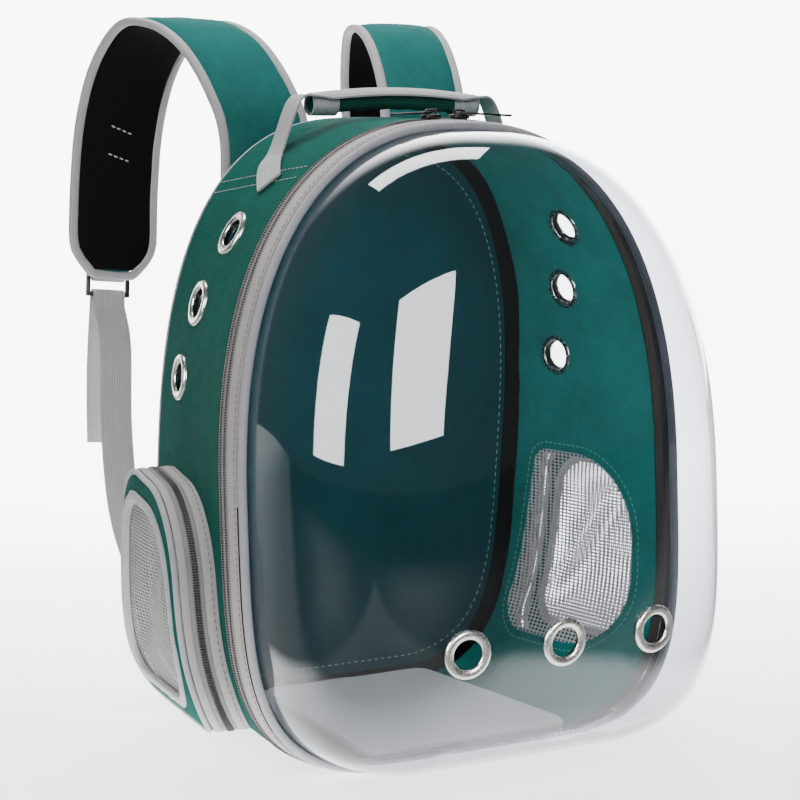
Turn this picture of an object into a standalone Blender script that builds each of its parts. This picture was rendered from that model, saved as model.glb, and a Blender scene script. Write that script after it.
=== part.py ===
"""A bubble pet carrier backpack: a soft box of fabric with a clear bulging front.

Metres, +Z up. The bag stands on its floor at Z = 0 with the clear dome towards -Y and the
shoulder straps towards +Y. X = 0 is the plane of symmetry, and the origin is the middle of
the fabric floor.
"""
import math
from collections import namedtuple

import bmesh
import bpy
from mathutils import Matrix, Vector
from mathutils.bvhtree import BVHTree

# Every pair of neighbours keeps this much air.
GAP = 0.0003

# The fabric box. Its front and rear edges are seen from the front as round-topped outlines.
FLOOR_DEPTH = 0.176
FRONT_LEAN = 0.058
REAR_LEAN = 0.100
WAIST_HEIGHT = 0.178
FLOOR_DIP = 0.0025
FABRIC = 0.0025
Outline = namedtuple("Outline", "half top top_power foot_power")
FRONT = Outline(half=0.170, top=0.418, top_power=2.35, foot_power=4.0)
REAR = Outline(half=0.146, top=0.420, top_power=2.70, foot_power=4.0)

# The hoop between the fabric and the dome: zipper, tape and piping.
HOOP_DEPTH = 0.029
HOOP_DROP = 0.0075
HOOP_BAND = 0.0015
HOOP_PIPING = 0.0027
ZIPPER_SHARE = 0.40
TAPE_SHARE = 0.80

# The clear dome.
DOME_DEPTH = 0.106
DOME_POWER = 3.0
DOME_WALL = 0.002
DOME_CENTRE_HEIGHT = 0.190
DOME_FLANGE = 0.012
DOME_TURNS = (8, 25, 45, 65, 80)

# The padded back, its piping, the binding in its inner corner and the floor pad.
BACK_PAD = 0.012
BACK_SOFTENING = 0.004
BACK_PIPING = 0.0022
CORNER_BINDING_WIDTH = 0.012
CORNER_BINDING = 0.0012
FLOOR_PAD = 0.009
FLOOR_PAD_SIDE_AIR = 0.0030

# Grommets: a share of the wall's depth, and a share of its height there, for each one.
GROMMET_HOLE = 0.0096
GROMMET_RIM = 0.0155
GROMMET_WALL = 0.0010
GROMMET_WASHER = 0.0132
GROMMET_LIFT = 0.0010
GROMMET_SLACK = 0.0014
Place = namedtuple("Place", "across up")
SIDE_GROMMETS = (Place(0.39, 0.8215), Place(0.56, 0.711), Place(0.675, 0.591))
DOME_GROMMET_SPREAD = 0.069
DOME_GROMMET_HEIGHT = 0.098

# The opening in each side wall and the zipped pocket over it, as corners: a share of the
# wall's depth, and shares of the pocket's height for the corner's place and its radius.
POCKET_FOOT = 0.022
POCKET_HEIGHT = 0.168
POCKET_PROJECTION = 0.028
POCKET_TAPE = 0.0014
POCKET_BASE_BAND = 0.008
POCKET_ZIPPER_BAND = 0.010
POCKET_PIPING = 0.0020
POCKET_FACE = 0.0015
POCKET_EDGING = 0.0012
POCKET_EDGING_WIDTH = 0.007
MESH_CLOTH = 0.0010
MESH_LAP = 0.0025
Corner = namedtuple("Corner", "across up radius")
POCKET_CORNERS = (Corner(0.955, 0.00, 0.179), Corner(0.930, 1.00, 0.214), Corner(0.090, 0.93, 0.393),
                  Corner(0.030, 0.00, 0.214))
POCKET_WINDOW = (Corner(0.880, 0.115, 0.119), Corner(0.850, 0.885, 0.179), Corner(0.185, 0.830, 0.321),
                 Corner(0.105, 0.115, 0.214))
WALL_WINDOW = (Corner(0.890, 0.105, 0.119), Corner(0.800, 0.905, 0.071), Corner(0.170, 0.905, 0.333),
               Corner(0.145, 0.105, 0.298))

# Sliders and pull tabs. A tab's cross bar turns under its slider's bridge.
SLIDER_LENGTH = 0.0110
SLIDER_WIDTH = 0.0080
SLIDER_BODY = 0.0025
SLIDER_TAIL = 0.0012
BRIDGE_LENGTH = 0.0080
BRIDGE_WIDTH = 0.0024
BRIDGE_POST = 0.0012
BRIDGE_OPENING = 0.0024
PULL_BAR = 0.0014
PULL_EYE = 0.0080
PULL_WIDTH = 0.0064
PULL_ARM = 0.0013
FRONT_SLIDER_SPREAD = 0.012
SHORT_PULL = 0.020
LONG_PULL = 0.030
POCKET_PULL = 0.018
POCKET_SLIDER_HEIGHT = 0.070

# The grab handle on the roof.
GRIP_RADIUS = 0.0065
GRIP_LENGTH = 0.128
GRIP_ARCH = 0.0045
FINGER_GAP = 0.0055
HANDLE_ACROSS = 0.57
WEBBING = 0.0016
HANDLE_WEBBING_WIDTH = 0.020
HANDLE_TAIL_DROP = 0.020
HANDLE_TAIL_FORWARD = 0.034
HANDLE_TAIL_AHEAD = 0.010
HANDLE_SHOULDER_OUT = 0.012
HANDLE_LANDING_OUT = 0.024

# Each shoulder strap leaves the back, rises, reaches back and comes down.
STRAP_SPREAD = 0.062
STRAP_SPLAY = 0.060
STRAP_WIDTH = 0.056
STRAP_PAD = 0.009
STRAP_BINDING = 0.0032
STRAP_FOOT_HEIGHT = 0.345
STRAP_RISE = 0.143
STRAP_REACH = 0.147
STRAP_END_DROP = 0.037
Step = namedtuple("Step", "splay reach rise")
STRAP_ROUTE = (Step(0.03, 0.01, 0.42), Step(0.12, 0.10, 0.66), Step(0.24, 0.29, 0.87), Step(0.38, 0.52, 0.98),
               Step(0.54, 0.75, 0.97), Step(0.70, 0.92, 0.78), Step(0.82, 1.00, 0.50), Step(0.91, 1.00, 0.16))
STRAP_END_REACH = 0.95

# The ladder lock on each strap's end, the tab that holds it and the webbing it grips.
LOCK_BAR = 0.0028
LOCK_WINDOW = 0.011
LOCK_RAIL = 0.003
LOCK_LIFT = 0.0033
LOCK_BEYOND = 0.004
TAB_LENGTH = 0.036
TAB_NECK = 0.006
TAB_CLOSE = 0.013
TAB_TAPER = 0.0008
WEBBING_WIDTH = 0.025
WEBBING_SIDE_AIR = 0.0015
WEBBING_LEAVE = 0.008
WEBBING_TAIL = 0.110
WEBBING_TAIL_BOW = 0.004
WEBBING_FOOT_HEIGHT = 0.032
WEBBING_FOOT_OUT = 0.098
WEBBING_FOOT_LENGTH = 0.022
WEBBING_SLACK = (Step(1.03, 0.93, 0.80), Step(1.10, 0.84, 0.58), Step(1.14, 0.66, 0.36),
                 Step(1.08, 0.40, 0.17), Step(0.96, 0.17, 0.05))

# How finely round things are divided.
RING_HALF = 22
POCKET_POINTS = 24
GROMMET_SIDES = 10
ARC_STEPS = 8
FINE = 240

# How far a cutter reaches to each side of what it cuts, and the step that slopes are taken over.
CUTTER_REACH = 0.015
SLOPE_STEP = 0.001

COLOURS = {
    "green": ((0.012, 0.118, 0.082), 0.85, 0.0),
    "lining": ((0.004, 0.060, 0.062), 0.80, 0.0),
    "grey": ((0.360, 0.345, 0.330), 0.80, 0.0),
    "pale": ((0.620, 0.620, 0.630), 0.75, 0.0),
    "webbing": ((0.480, 0.480, 0.490), 0.80, 0.0),
    "pad": ((0.480, 0.500, 0.480), 0.95, 0.0),
    "black": ((0.010, 0.010, 0.011), 0.70, 0.0),
    "metal": ((0.760, 0.750, 0.730), 0.22, 1.0),
    "dark_metal": ((0.060, 0.060, 0.062), 0.35, 1.0),
    "clear": ((0.880, 0.890, 0.910), 0.04, 0.0),
    "mesh": ((0.420, 0.440, 0.430), 0.80, 0.0),
}


def clear_scene():
    for thing in list(bpy.data.objects):
        bpy.data.objects.remove(thing, do_unlink=True)


def new_collection(name):
    made = bpy.data.collections.new(name)
    bpy.context.scene.collection.children.link(made)
    return made


clear_scene()
BAG = new_collection("bubble_pet_carrier_backpack")
CUTTERS = new_collection("cutters")


def material(node, colour):
    base, roughness, metallic = COLOURS[colour]
    made = bpy.data.materials.new(node)
    made.use_nodes = True
    shader = made.node_tree.nodes["Principled BSDF"]
    shader.inputs["Base Color"].default_value = (*base, 1.0)
    shader.inputs["Roughness"].default_value = roughness
    shader.inputs["Metallic"].default_value = metallic
    if colour == "clear":
        shader.inputs["Transmission Weight"].default_value = 1.0
    return made


def mesh_object(name, bm, colour, collection=BAG):
    bm.normal_update()
    mesh = bpy.data.meshes.new(name)
    bm.to_mesh(mesh)
    bm.free()
    made = bpy.data.objects.new(name, mesh)
    collection.objects.link(made)
    if collection is CUTTERS:
        made.hide_render = True
        made.display_type = "WIRE"
    else:
        made.data.materials.append(material(name, colour))
    return made


def thicken(made, thickness, offset=-1.0):
    solid = made.modifiers.new("Solidify", "SOLIDIFY")
    solid.thickness = thickness
    solid.offset = offset
    solid.use_even_offset = True


def cut(made, cutter):
    hole = made.modifiers.new("Boolean", "BOOLEAN")
    hole.object = cutter
    hole.operation = "DIFFERENCE"


# Where the fabric box lies.
def front_y(z):
    return -FLOOR_DEPTH / 2 + FRONT_LEAN * z


def rear_y(z):
    return FLOOR_DEPTH / 2 - REAR_LEAN * z


def rim_y(z):
    return front_y(z) - HOOP_DEPTH


def mixed(share):
    return Outline(*(a + (b - a) * share for a, b in zip(FRONT, REAR)))


def wall_share(y, z):
    return (y - front_y(z)) / (rear_y(z) - front_y(z))


def wall_y(share, z):
    return front_y(z) + (rear_y(z) - front_y(z)) * share


def half_width(outline, z):
    if z >= WAIST_HEIGHT:
        share = (z - WAIST_HEIGHT) / (outline.top - WAIST_HEIGHT)
        power = outline.top_power
    else:
        share = (WAIST_HEIGHT - z) / (WAIST_HEIGHT + FLOOR_DIP)
        power = outline.foot_power
    return outline.half * (1 - min(share, 1.0) ** power) ** (1 / power)


def roof_height(share, x):
    outline = mixed(share)
    across = min(abs(x) / outline.half, 1.0)
    rise = (1 - across ** outline.top_power) ** (1 / outline.top_power)
    return WAIST_HEIGHT + (outline.top - WAIST_HEIGHT) * rise


def wall_point(side, y, z):
    return Vector((side * half_width(mixed(wall_share(y, z)), z), y, z))


def wall_normal(side, y, z):
    along = wall_point(side, y + SLOPE_STEP, z) - wall_point(side, y - SLOPE_STEP, z)
    upward = wall_point(side, y, z + SLOPE_STEP) - wall_point(side, y, z - SLOPE_STEP)
    return along.cross(upward).normalized() * side


# An outline's points on one side, from the middle of the top to the middle of the foot.
def half_outline(outline, inset, count):
    fine = []
    for number in range(FINE + 1):
        turn = math.pi * number / FINE
        power = outline.top_power if turn < math.pi / 2 else outline.foot_power
        x = outline.half * math.sin(turn) ** (2 / power)
        rise = abs(math.cos(turn)) ** (2 / power)
        if turn < math.pi / 2:
            z = WAIST_HEIGHT + (outline.top - WAIST_HEIGHT) * rise
        else:
            z = WAIST_HEIGHT - (WAIST_HEIGHT + FLOOR_DIP) * rise
        fine.append(Vector((x, max(z, 0.0))))
    fine[0].x = 0.0
    fine[-1].x = 0.0
    points = even_points(fine, count)
    moved = []
    for number, point in enumerate(points):
        before = points[number - 1] if number else Vector((-points[1].x, points[1].y))
        after = points[number + 1] if number < count else Vector((-points[-2].x, points[-2].y))
        along = (after - before).normalized()
        moved.append(point - Vector((-along.y, along.x)) * inset)
    return moved


def even_points(fine, count):
    lengths = [0.0]
    for one, two in zip(fine, fine[1:]):
        lengths.append(lengths[-1] + (two - one).length)
    points = []
    place = 0
    for number in range(count + 1):
        wanted = lengths[-1] * number / count
        while place < len(fine) - 2 and lengths[place + 1] < wanted:
            place += 1
        share = (wanted - lengths[place]) / max(lengths[place + 1] - lengths[place], 1e-9)
        points.append(fine[place].lerp(fine[place + 1], min(share, 1.0)))
    return points


# A closed ring of points: an outline, moved in by an inset, on the plane that gives Y from Z.
def ring(outline, plane, inset=0.0):
    right = [Vector((point.x, plane(point.y), point.y)) for point in half_outline(outline, inset, RING_HALF)]
    left = [Vector((-point.x, point.y, point.z)) for point in right[1:-1]]
    return right + left[::-1]


def hoop_ring(share, inset=0.0):
    drop = (HOOP_DROP - 2 * HOOP_PIPING - GAP) * share
    return ring(FRONT, lambda z: front_y(z) - HOOP_DEPTH * share, inset + drop)


# Faces between rings of equal length. Ends are open unless they are capped or meet each other.
def loft(rings, closed=True, caps=False, tip=None, endless=False):
    bm = bmesh.new()
    rows = [[bm.verts.new(point) for point in points] for points in rings]
    for one, two in zip(rows, rows[1:] + rows[:1] if endless else rows[1:]):
        count = len(one)
        for number in range(count if closed else count - 1):
            following = (number + 1) % count
            bm.faces.new((one[number], one[following], two[following], two[number]))
    if tip is not None:
        top = bm.verts.new(tip)
        last = rows[-1]
        for number in range(len(last)):
            bm.faces.new((last[number], last[(number + 1) % len(last)], top))
    if caps:
        bm.faces.new(rows[0][::-1])
        bm.faces.new(rows[-1])
    if caps or endless:
        bmesh.ops.recalc_face_normals(bm, faces=bm.faces)
    return bm


# Turns an open surface so that its faces point away from the line or point given.
def face_away(bm, centre_of):
    bm.normal_update()
    total = 0.0
    for face in bm.faces:
        middle = face.calc_center_median()
        total += face.normal.dot(middle - centre_of(middle)) * face.calc_area()
    if total < 0:
        bmesh.ops.reverse_faces(bm, faces=bm.faces)


def axis_of_bag(point):
    return Vector((0.0, point.y, WAIST_HEIGHT))


def tube(name, points, radius, colour, cyclic=True, resolution=1):
    curve = bpy.data.curves.new(name, "CURVE")
    curve.dimensions = "3D"
    curve.bevel_depth = radius
    curve.bevel_resolution = resolution
    curve.use_fill_caps = True
    spline = curve.splines.new("POLY")
    spline.points.add(len(points) - 1)
    for place, point in zip(spline.points, points):
        place.co = (*point, 1.0)
    spline.use_cyclic_u = cyclic
    made = bpy.data.objects.new(name, curve)
    BAG.objects.link(made)
    curve.materials.append(material(name, colour))
    return made


def smooth_route(points, steps):
    ends = [points[0] * 2 - points[1]] + list(points) + [points[-1] * 2 - points[-2]]
    route = []
    for number in range(1, len(ends) - 2):
        a, b, c, d = ends[number - 1:number + 3]
        for step in range(steps):
            t = step / steps
            route.append(0.5 * (2 * b + (c - a) * t + (2 * a - 5 * b + 4 * c - d) * t * t
                                + (3 * b - a - 3 * c + d) * t ** 3))
    route.append(points[-1].copy())
    return route


# A flat strip along a route. Each point has its own sideways direction and half width.
def strip(name, route, sideways, halves, thickness, colour):
    rows = []
    for point, side, half in zip(route, sideways, halves):
        rows.append([point - side * half, point + side * half])
    made = mesh_object(name, loft(rows, closed=False), colour)
    thicken(made, thickness, offset=0.0)
    return made


def box_surface():
    shares = (0.0, 0.34, 0.67, 1.0)
    rings = [ring(mixed(share), lambda z, s=share: wall_y(s, z)) for share in shares]
    bm = loft(rings)
    face_away(bm, axis_of_bag)
    return bm


# The fabric box is one band that runs over the sides, the roof and the floor.
def build_body():
    shell = mesh_object("body_shell", box_surface(), "green")
    thicken(shell, FABRIC)
    for side in (-1, 1):
        for number, place in enumerate(SIDE_GROMMETS):
            point, normal = side_grommet_seat(side, place)
            cut(shell, grommet_cutter(f"wall_hole_{side}_{number}", point, normal))
        cut(shell, window_cutter(side))
    return shell


def build_hoop():
    edge = GAP / HOOP_DEPTH
    bands = (("front_zipper", 3 * edge, ZIPPER_SHARE, "black"),
             ("front_tape", ZIPPER_SHARE + edge, TAPE_SHARE, "grey"))
    for name, start, end, colour in bands:
        bm = loft([hoop_ring(start), hoop_ring(end)])
        face_away(bm, axis_of_bag)
        thicken(mesh_object(name, bm, colour), HOOP_BAND)
    share = TAPE_SHARE + edge + HOOP_PIPING / HOOP_DEPTH
    tube("front_piping", hoop_ring(share, HOOP_PIPING), HOOP_PIPING, "pale")


def dome_surface():
    flange = ring(FRONT, lambda z: rim_y(z) + DOME_FLANGE, HOOP_BAND + HOOP_DROP / 2)
    edge = ring(FRONT, rim_y, HOOP_DROP)
    centre = Vector((0.0, 0.0, DOME_CENTRE_HEIGHT))
    rings = [flange, edge]
    for degrees in DOME_TURNS:
        turn = math.radians(degrees)
        scale = math.cos(turn) ** (2 / DOME_POWER)
        depth = DOME_DEPTH * math.sin(turn) ** (2 / DOME_POWER)
        points = []
        for point in edge:
            x = point.x * scale
            z = centre.z + (point.z - centre.z) * scale
            points.append(Vector((x, rim_y(z) - depth, z)))
        rings.append(points)
    tip = Vector((0.0, rim_y(centre.z) - DOME_DEPTH, centre.z))
    bm = loft(rings, tip=tip)
    face_away(bm, lambda point: Vector((0.0, 0.0, centre.z)))
    return bm


def build_dome():
    dome = mesh_object("clear_dome", dome_surface(), "clear")
    thicken(dome, DOME_WALL)
    for number, x in enumerate(dome_grommet_places()):
        cut(dome, grommet_cutter(f"dome_hole_{number}", *dome_grommet_seat(x)))


def dome_grommet_places():
    return (-DOME_GROMMET_SPREAD, 0.0, DOME_GROMMET_SPREAD)


# The mean place and slope of a faceted surface under a grommet, looked at from inside.
def mean_seat(tree, start, ahead, across):
    upward = ahead.cross(across)
    hits = []
    for number in range(GROMMET_SIDES):
        turn = 2 * math.pi * number / GROMMET_SIDES
        aside = (across * math.cos(turn) + upward * math.sin(turn)) * GROMMET_WASHER
        hits.append(tree.ray_cast(start + aside, ahead)[0])
    middle = sum(hits, Vector()) / len(hits)
    normal = Vector()
    for one, two in zip(hits, hits[1:] + hits[:1]):
        normal += (one - middle).cross(two - middle)
    return middle, normal.normalized()


def dome_grommet_seat(x):
    start = Vector((x, 0.0, DOME_GROMMET_HEIGHT))
    return mean_seat(DOME_TREE, start, Vector((0.0, -1.0, 0.0)), Vector((1.0, 0.0, 0.0)))


# The back closes the box. It lies inside a ring of piping, which ends flush with the walls.
def build_back():
    inset = 2 * BACK_PIPING + 2 * GAP
    front = ring(REAR, lambda z: rear_y(z) + GAP, inset)
    middle = ring(REAR, lambda z: rear_y(z) + GAP + BACK_PAD - BACK_SOFTENING, inset)
    rear = ring(REAR, lambda z: rear_y(z) + GAP + BACK_PAD, inset + BACK_SOFTENING)
    mesh_object("back_panel", loft([front, middle, rear], caps=True), "lining")
    piping = ring(REAR, lambda z: rear_y(z) + GAP + BACK_PIPING, BACK_PIPING + GAP)
    tube("back_piping", piping, BACK_PIPING, "pale")
    inset = FABRIC + 3 * GAP
    share = 1 - CORNER_BINDING_WIDTH / FLOOR_DEPTH
    near = ring(REAR, lambda z: rear_y(z) - GAP, inset)
    far = ring(mixed(share), lambda z: wall_y(share, z), inset)
    bm = loft([near, far])
    face_away(bm, axis_of_bag)
    thicken(mesh_object("corner_binding", bm, "lining"), CORNER_BINDING)


# Low down the walls lie nearly flat, so their inner face is the outer one moved up.
def pad_half(y, z):
    under = z - FABRIC - FLOOR_PAD_SIDE_AIR / 2
    return half_width(mixed(max(wall_share(y, z), 0.0)), under) - FLOOR_PAD_SIDE_AIR


# The pad's edges lean out with the wall that they lie against.
def build_floor_pad():
    low = HOOP_DROP / 2 + GAP
    high = low + FLOOR_PAD
    front = rim_y(high) + DOME_FLANGE + 2 * GAP
    rear = rear_y(high) - CORNER_BINDING_WIDTH - 2 * GAP
    rows = []
    for z in (low, high):
        rows.append([Vector((-pad_half(front, z), front, z)), Vector((pad_half(front, z), front, z)),
                     Vector((pad_half(0.0, z), 0.0, z)), Vector((pad_half(rear, z), rear, z)),
                     Vector((-pad_half(rear, z), rear, z)), Vector((-pad_half(0.0, z), 0.0, z))])
    mesh_object("floor_pad", loft(rows, caps=True), "pad")


def seat_matrix(point, normal, upward=Vector((0.0, 0.0, 1.0))):
    across = upward.cross(normal).normalized()
    up = normal.cross(across)
    turned = Matrix((across, up, normal)).transposed().to_4x4()
    return Matrix.Translation(point) @ turned


def side_grommet_seat(side, place):
    z = place.up * mixed(place.across).top
    start = Vector((0.0, wall_y(place.across, z), z))
    return mean_seat(BOX_TREE, start, Vector((side, 0.0, 0.0)), Vector((0.0, 1.0, 0.0)))


def grommet_cutter(name, point, normal):
    bm = bmesh.new()
    radius = GROMMET_HOLE + GROMMET_WALL + 2 * GAP
    bmesh.ops.create_cone(bm, cap_ends=True, segments=GROMMET_SIDES, radius1=radius, radius2=radius,
                          depth=2 * CUTTER_REACH)
    cutter = mesh_object(name, bm, None, CUTTERS)
    cutter.matrix_world = seat_matrix(point, normal)
    return cutter


# A grommet is a spool: a rounded rim outside, a barrel through the wall and a washer inside.
def build_grommet(name, point, normal, wall):
    hole, barrel, rim = GROMMET_HOLE, GROMMET_HOLE + GROMMET_WALL, GROMMET_RIM
    flat = GROMMET_LIFT
    low = -wall - GROMMET_SLACK
    profile = ((hole, flat + 0.5 * GROMMET_WALL), (hole + 0.3 * (rim - hole), flat + 1.6 * GROMMET_WALL),
               (hole + 0.8 * (rim - hole), flat + 1.3 * GROMMET_WALL), (rim, flat), (barrel, flat),
               (barrel, low), (GROMMET_WASHER, low), (hole, low - GROMMET_WALL))
    bm = bmesh.new()
    points = [bm.verts.new((radius, 0.0, height)) for radius, height in profile]
    for one, two in zip(points, points[1:] + points[:1]):
        bm.edges.new((one, two))
    made = mesh_object(name, bm, "metal")
    made.matrix_world = seat_matrix(point, normal)
    turn = made.modifiers.new("Screw", "SCREW")
    turn.steps = turn.render_steps = GROMMET_SIDES
    turn.use_merge_vertices = True
    turn.merge_threshold = 0.00005
    return made


def build_grommets():
    for side, word in ((-1, "left"), (1, "right")):
        for number, place in enumerate(SIDE_GROMMETS):
            point, normal = side_grommet_seat(side, place)
            build_grommet(f"side_grommet_{word}_{number + 1}", point, normal, FABRIC)
    for number, x in enumerate(dome_grommet_places()):
        build_grommet(f"dome_grommet_{number + 1}", *dome_grommet_seat(x), DOME_WALL)


# A closed outline with round corners, as (y, z) points spaced evenly along it.
def rounded_outline(corners, grow=0.0):
    middle_z = POCKET_FOOT + POCKET_HEIGHT / 2
    centre = Vector((wall_y(0.5, middle_z), middle_z))
    sharp = []
    for corner in corners:
        z = POCKET_FOOT + POCKET_HEIGHT * corner.up
        sharp.append(Vector((wall_y(corner.across, z), z)))
    fine = []
    count = len(corners)
    for number, corner in enumerate(corners):
        here = sharp[number]
        back = (sharp[number - 1] - here).normalized()
        ahead = (sharp[(number + 1) % count] - here).normalized()
        half_angle = back.angle(ahead) / 2
        radius = corner.radius * POCKET_HEIGHT
        middle = here + (back + ahead).normalized() * radius / math.sin(half_angle)
        start = here + back * radius / math.tan(half_angle) - middle
        end = here + ahead * radius / math.tan(half_angle) - middle
        for step in range(ARC_STEPS + 1):
            arm = start.lerp(end, step / ARC_STEPS).normalized() * (radius + grow)
            fine.append(middle + arm)
    fine.append(fine[0].copy())
    return even_points(fine, POCKET_POINTS)[:-1], centre


# The pocket stands straight out from the wall, so it keeps the wall's shape.
def outward(side):
    lean = (FRONT.half - REAR.half) / FLOOR_DEPTH
    return Vector((side, lean, 0.0)).normalized()


def pocket_point(side, place, height):
    return wall_point(side, place.x, place.y) + outward(side) * height


def pocket_ring(side, corners, height, grow=0.0):
    points, _ = rounded_outline(corners, grow)
    return [pocket_point(side, place, height) for place in points]


def window_cutter(side):
    inner = pocket_ring(side, WALL_WINDOW, -CUTTER_REACH)
    outer = pocket_ring(side, WALL_WINDOW, CUTTER_REACH)
    return mesh_object(f"window_{side}", loft([inner, outer], caps=True), None, CUTTERS)


# A place against the inner face of the wall as it is faceted, square to it.
def lining_point(side, place, height):
    start = Vector((0.0, place.x, place.y))
    hit, normal, _, _ = BOX_TREE.ray_cast(start, Vector((side, 0.0, 0.0)))
    return hit + normal * height


# A sheet inside an outline, following the wall's shape.
def sheet(name, side, corners, seat, height, grow):
    outline, centre = rounded_outline(corners, grow)
    rings = []
    for scale in (1.0, 0.5):
        rings.append([seat(side, centre.lerp(place, scale), height) for place in outline])
    bm = loft(rings, tip=seat(side, centre, height))
    face_away(bm, lambda point: Vector((0.0, point.y, point.z)))
    thicken(mesh_object(name, bm, "mesh"), MESH_CLOTH)


# A flat frame over the pocket's face. Each edge is an outline and how far it is grown.
def face_frame(name, side, edges, height, thickness, colour):
    bm = loft([pocket_ring(side, corners, height, grow) for corners, grow in edges])
    face_away(bm, lambda point: Vector((0.0, point.y, point.z)))
    thicken(mesh_object(name, bm, colour), thickness)


# A band round the pocket. Its inner edges follow the wall by themselves, as its outer ones do.
def pocket_band(name, side, start, end, colour):
    rings = [pocket_ring(side, POCKET_CORNERS, height, grow)
             for height, grow in ((start, 0.0), (end, 0.0), (end, -POCKET_TAPE), (start, -POCKET_TAPE))]
    mesh_object(name, loft(rings, endless=True), colour)


def build_pocket(side, word):
    base_end = GAP + POCKET_BASE_BAND
    zipper_end = base_end + GAP + POCKET_ZIPPER_BAND
    band_end = POCKET_PROJECTION - 2 * POCKET_PIPING
    pocket_band(f"pocket_base_tape_{word}", side, 2 * GAP, base_end, "grey")
    pocket_band(f"pocket_zipper_{word}", side, base_end + GAP, zipper_end, "black")
    pocket_band(f"pocket_front_tape_{word}", side, zipper_end + GAP, band_end, "grey")
    rim = pocket_ring(side, POCKET_CORNERS, band_end + GAP + POCKET_PIPING, -POCKET_PIPING)
    tube(f"pocket_piping_{word}", rim, POCKET_PIPING, "pale")
    edge = -2 * POCKET_PIPING - 2 * GAP
    face_frame(f"pocket_face_{word}", side, ((POCKET_CORNERS, edge), (POCKET_WINDOW, 0.0)), POCKET_PROJECTION,
               POCKET_FACE, "green")
    laps = ((POCKET_WINDOW, 0.6 * POCKET_EDGING_WIDTH), (POCKET_WINDOW, -0.4 * POCKET_EDGING_WIDTH))
    height = POCKET_PROJECTION + 2 * GAP + POCKET_EDGING
    face_frame(f"pocket_edging_{word}", side, laps, height, POCKET_EDGING, "pale")
    height = POCKET_PROJECTION - POCKET_FACE - 3 * GAP
    sheet(f"pocket_mesh_{word}", side, POCKET_WINDOW, pocket_point, height, MESH_LAP)
    sheet(f"window_mesh_{word}", side, WALL_WINDOW, lining_point, -FABRIC - 3 * GAP, MESH_LAP)


def add_box(bm, low, high):
    size = Vector(high) - Vector(low)
    middle = (Vector(high) + Vector(low)) / 2
    place = Matrix.Translation(middle) @ Matrix.Diagonal((*size, 1.0))
    bmesh.ops.create_cube(bm, size=1.0, matrix=place)


def join_boxes(name, boxes, colour):
    bm = bmesh.new()
    add_box(bm, *boxes[0])
    made = mesh_object(name, bm, colour)
    for number, box in enumerate(boxes[1:]):
        bm = bmesh.new()
        add_box(bm, *box)
        adding = mesh_object(f"{name}_piece_{number}", bm, None, CUTTERS)
        adding.parent = made
        union = made.modifiers.new("Union", "BOOLEAN")
        union.object = adding
        union.operation = "UNION"
    return made


def pivot_height():
    return GAP + SLIDER_BODY + BRIDGE_OPENING / 2


# A slider in its own frame: the tab lies along +X, and the origin is on the tab's pivot.
def build_slider(name, matrix):
    low = -pivot_height() + GAP
    top = low + SLIDER_BODY
    roof = top + BRIDGE_OPENING
    front = PULL_BAR / 2 + 2 * GAP + BRIDGE_POST
    back = front - BRIDGE_LENGTH
    end = back - SLIDER_TAIL
    half = BRIDGE_WIDTH / 2
    sink = 0.2 * SLIDER_BODY
    boxes = [((end, -SLIDER_WIDTH / 2, low), (end + SLIDER_LENGTH, SLIDER_WIDTH / 2, top)),
             ((back, -half, top - sink), (back + BRIDGE_POST, half, roof)),
             ((front - BRIDGE_POST, -half, top - sink), (front, half, roof)),
             ((back, -half, roof - 0.1 * BRIDGE_POST), (front, half, roof + BRIDGE_POST))]
    made = join_boxes(name, boxes, "dark_metal")
    made.matrix_world = matrix
    return made


def build_pull(name, matrix, length):
    bar = PULL_BAR / 2
    half = PULL_WIDTH / 2
    inner = half - PULL_ARM
    lap = 0.1 * PULL_ARM
    boxes = [((-bar, -half, -bar), (bar, half, bar)),
             ((-bar + lap, inner, -bar), (PULL_EYE, half, bar)),
             ((-bar + lap, -half, -bar), (PULL_EYE, -inner, bar)),
             ((PULL_EYE - lap, -half, -bar), (PULL_EYE + length, half, bar))]
    made = join_boxes(name, boxes, "dark_metal")
    made.matrix_world = matrix
    return made


# The frame of a tab: X along the tape, Z out of it, with the origin on the pivot.
def tab_matrix(point, along, normal):
    across = normal.cross(along).normalized()
    along = across.cross(normal)
    turned = Matrix((along, across, normal)).transposed().to_4x4()
    return Matrix.Translation(point + normal * pivot_height()) @ turned


def build_front_sliders():
    for side, word, length in ((-1, "left", SHORT_PULL), (1, "right", LONG_PULL)):
        x = side * FRONT_SLIDER_SPREAD
        z = roof_height(0.0, x)
        slope = (roof_height(0.0, x + SLOPE_STEP) - roof_height(0.0, x - SLOPE_STEP)) / (2 * SLOPE_STEP)
        y = front_y(z) - HOOP_DEPTH * ZIPPER_SHARE / 2
        normal = Vector((-slope, 0.0, 1.0)).normalized()
        matrix = tab_matrix(Vector((x, y, z)), Vector((side, 0.0, side * slope)), normal)
        build_slider(f"front_slider_{word}", matrix)
        build_pull(f"front_pull_{word}", matrix, length)


def build_pocket_slider(side, word):
    height = GAP + POCKET_BASE_BAND + GAP + POCKET_ZIPPER_BAND / 2
    places, _ = rounded_outline(POCKET_CORNERS)
    place = max(places, key=lambda p: p.x - 0.2 * abs(p.y - POCKET_SLIDER_HEIGHT))
    following = places[(places.index(place) + 1) % len(places)]
    before = places[places.index(place) - 1]
    along = (before - following) if before.y < following.y else (following - before)
    point = pocket_point(side, place, height)
    down = pocket_point(side, place + along, height) - point
    normal = down.cross(outward(side)).normalized()
    if normal.y < 0:
        normal = -normal
    matrix = tab_matrix(point, down.normalized(), normal)
    build_slider(f"pocket_slider_{word}", matrix)
    build_pull(f"pocket_pull_{word}", matrix, POCKET_PULL)


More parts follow.
